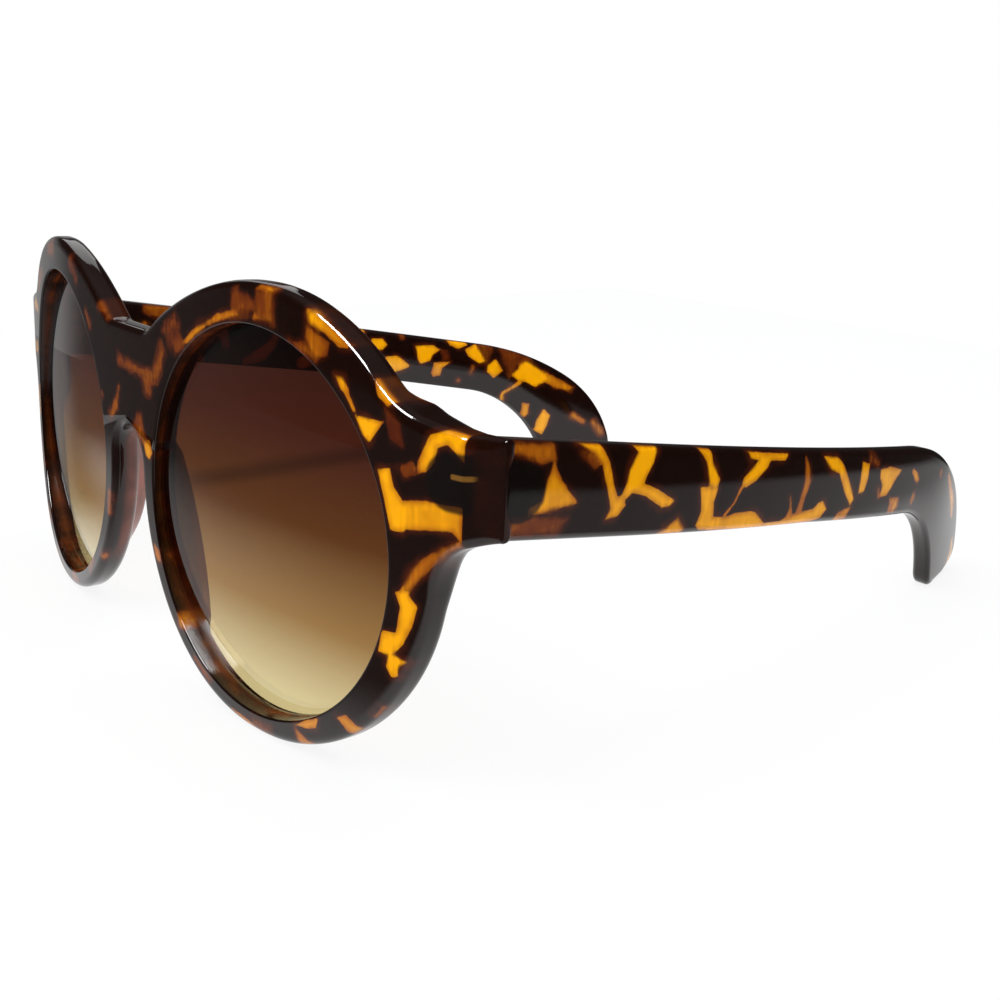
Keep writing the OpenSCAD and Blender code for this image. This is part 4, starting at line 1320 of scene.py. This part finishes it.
class SUNGLASSES_OT_stage(bpy.types.Operator):
    """Builds the floor, the light, the surroundings and the camera"""
    bl_idname = "sunglasses.stage"
    bl_label = "Stage"

    def execute(self, context):
        """A pale floor under soft light, seen from the photograph's place."""
        scene = context.scene
        scene.view_settings.view_transform = "Standard"
        self.floor()
        self.surroundings(scene)
        for lamp in LAMPS:
            self.lamp(*lamp)
        self.camera(scene)
        return {"FINISHED"}

    def floor(self):
        """A flat plane, white to the camera and through the lenses, pale to light that falls on it,
        and with a glow of zones of its own in what the gloss shows. Through the lenses it also has
        the soft shadow of the right temple."""
        corners = [(x * FLOOR_HALF, y * FLOOR_HALF, 0) for x, y in ((-1, -1), (1, -1), (1, 1), (-1, 1))]
        mesh = bpy.data.meshes.new("floor")
        mesh.from_pydata(corners, [], [(0, 1, 2, 3)])
        plane = bpy.data.objects.new("floor", mesh)
        bpy.context.scene.collection.objects.link(plane)
        material, tree, surface = new_material("pale_floor")
        place = object_place(tree)
        tint = blend_colours(tree, noise(tree, place, 30.0, 2.0), (0.86, 0.86, 0.86), (0.9, 0.9, 0.9))
        through = ray(tree, "Transmission")
        seen = (ray(tree, "Camera") + through).clamped()
        x, y = axes(tree, place)[:2]
        # What the gloss shows, by zones in metres: the table round the pair, a patch before the
        # front and one at its left
        far = (x * x + y * y).ramp(0.165 ** 2, 0.195 ** 2)
        outside = (x - 0.11 + (y + 0.03) * 0.38).ramp(-0.012, 0.012)
        table = (0.9 - outside * 0.57) * (1 - far)
        front = (0 - x).ramp(-0.05, 0.04) * x.ramp(-0.17, -0.1) * y.ramp(-0.16, -0.09) * 0.5 + 0.06
        near_left = (y + 0.07 - x * 0.2).ramp(0.0, 0.04) * (0 - x).ramp(0.03, 0.06) * 0.22
        back = y.ramp(-0.098, -0.074)
        right = x.ramp(-0.09, -0.04)
        glow = table * back * right + front * (1 - back) + near_left * back * (1 - right) + 0.03
        lit = make_node(tree, "ShaderNodeBsdfDiffuse", {}, {"Color": tint})
        # The right temple's shadow, a soft strip along Y
        shadow = x.ramp(-0.097, -0.084) * (1 - x.ramp(-0.084, -0.073)) * y.ramp(-0.05, -0.015)
        shadow = shadow * (1 - y.ramp(0.05, 0.08))
        white = make_node(tree, "ShaderNodeEmission", {}, {"Color": WHITE,
            "Strength": 1 - through * shadow * 0.5})
        sheen = make_node(tree, "ShaderNodeEmission", {}, {"Color": WHITE, "Strength": glow})
        plain = blend_shaders(tree, seen * 0.88, lit, white)
        mixed = blend_shaders(tree, ray(tree, "Glossy") * (1 - seen), plain, sheen)
        tree.links.new(mixed.socket, surface)
        material.cycles.emission_sampling = "NONE"
        mesh.materials.append(material)

    def surroundings(self, scene):
        """White to the camera and through the lenses, and a soft studio for light and gloss."""
        world = bpy.data.worlds.new("studio")
        scene.world = world
        world.use_nodes = True
        tree = world.node_tree
        tree.nodes.clear()
        output = tree.nodes.new("ShaderNodeOutputWorld").inputs["Surface"]
        x, y, z = axes(tree, make_node(tree, "ShaderNodeTexCoord", {}, {}, "Generated"))
        low = 1 - z.ramp(0.05, 0.3)
        left = (0 - x).ramp(0.82, 0.95) * low * y.ramp(-0.2, 0.0)
        glow = 0.02 + left * 0.26 + (0 - x).ramp(0.6, 0.85) * low * 0.07 + z.ramp(0.55, 0.95) * 0.15
        light, sheen, white = (
            make_node(tree, "ShaderNodeBackground", {}, {"Color": tint, "Strength": strength})
            for tint, strength in (((0.95, 0.97, 1.0), 0.7), (WHITE, glow), (WHITE, 1.0)))
        seen = (ray(tree, "Camera") + ray(tree, "Transmission")).clamped()
        mixed = blend_shaders(tree, seen, blend_shaders(tree, ray(tree, "Glossy"), light, sheen), white)
        tree.links.new(mixed.socket, output)

    def lamp(self, name, place, target, size, power, hidden_from):
        """A rectangular soft lamp that faces a point and is hidden from one kind of ray."""
        light = bpy.data.lights.new(name, "AREA")
        light.shape = "RECTANGLE"
        light.size, light.size_y = size
        light.energy = power
        lamp = bpy.data.objects.new(name, light)
        bpy.context.scene.collection.objects.link(lamp)
        lamp.location = place
        lamp.visible_transmission = False
        setattr(lamp, "visible_" + hidden_from, False)
        way = Vector(target) - Vector(place)
        lamp.rotation_euler = way.to_track_quat("-Z", "Y").to_euler()

    def camera(self, scene):
        """The photograph's viewpoint, with its picture's shift."""
        data = bpy.data.cameras.new("camera")
        data.sensor_width = SENSOR
        data.lens = FOCAL * SENSOR / IMAGE_SIZE
        data.shift_x = (IMAGE_SIZE / 2 - PICTURE_MIDDLE[0]) / IMAGE_SIZE
        data.shift_y = (PICTURE_MIDDLE[1] - IMAGE_SIZE / 2) / IMAGE_SIZE
        data.clip_start = 0.01
        camera = bpy.data.objects.new("camera", data)
        scene.collection.objects.link(camera)
        camera.location = CAMERA_PLACE
        camera.rotation_euler = tuple(np.radians(CAMERA_TURN).tolist())
        scene.camera = camera


class SunglassesSettings(bpy.types.PropertyGroup):
    """All sizes and colours."""
    front: PointerProperty(type=FrontSizes, name="Front", description="Sizes of the front")
    temple: PointerProperty(type=TempleSizes, name="Temples", description="Sizes of the temples")
    lens: PointerProperty(type=LensSizes, name="Lenses", description="Sizes of the lenses")
    colours: PointerProperty(type=Colours, name="Colours", description="Colours of the finishes")


OPERATORS = (SUNGLASSES_OT_front, SUNGLASSES_OT_temples, SUNGLASSES_OT_lenses, SUNGLASSES_OT_hinges,
    SUNGLASSES_OT_stage)


class SUNGLASSES_PT_panel(bpy.types.Panel):
    """Lists the pieces and their sizes and colours"""
    bl_idname = "SUNGLASSES_PT_panel"
    bl_label = "Round sunglasses"
    bl_space_type = "VIEW_3D"
    bl_region_type = "UI"
    bl_category = "Sunglasses"

    def draw(self, context):
        """One button for each operator, then each group's values."""
        for operator in OPERATORS:
            self.layout.operator(operator.bl_idname)
        held = context.scene.sunglasses
        for name in ("front", "temple", "lens", "colours"):
            group = getattr(held, name)
            box = self.layout.box()
            for key in group.bl_rna.properties.keys():
                if key not in ("rna_type", "name"):
                    box.prop(group, key)


CLASSES = (FrontSizes, TempleSizes, LensSizes, Colours, SunglassesSettings, *OPERATORS,
    SUNGLASSES_PT_panel)


def register():
    """Registers the classes and the settings."""
    for cls in CLASSES:
        bpy.utils.register_class(cls)
    bpy.types.Scene.sunglasses = PointerProperty(type=SunglassesSettings)


def unregister():
    """Takes the settings and the classes away again."""
    del bpy.types.Scene.sunglasses
    for cls in reversed(CLASSES):
        bpy.utils.unregister_class(cls)


def main():
    """Builds every piece."""
    register()
    bpy.ops.sunglasses.front()
    bpy.ops.sunglasses.temples()
    bpy.ops.sunglasses.lenses()
    bpy.ops.sunglasses.hinges()
    bpy.ops.sunglasses.stage()


if __name__ == "__main__":
    main()
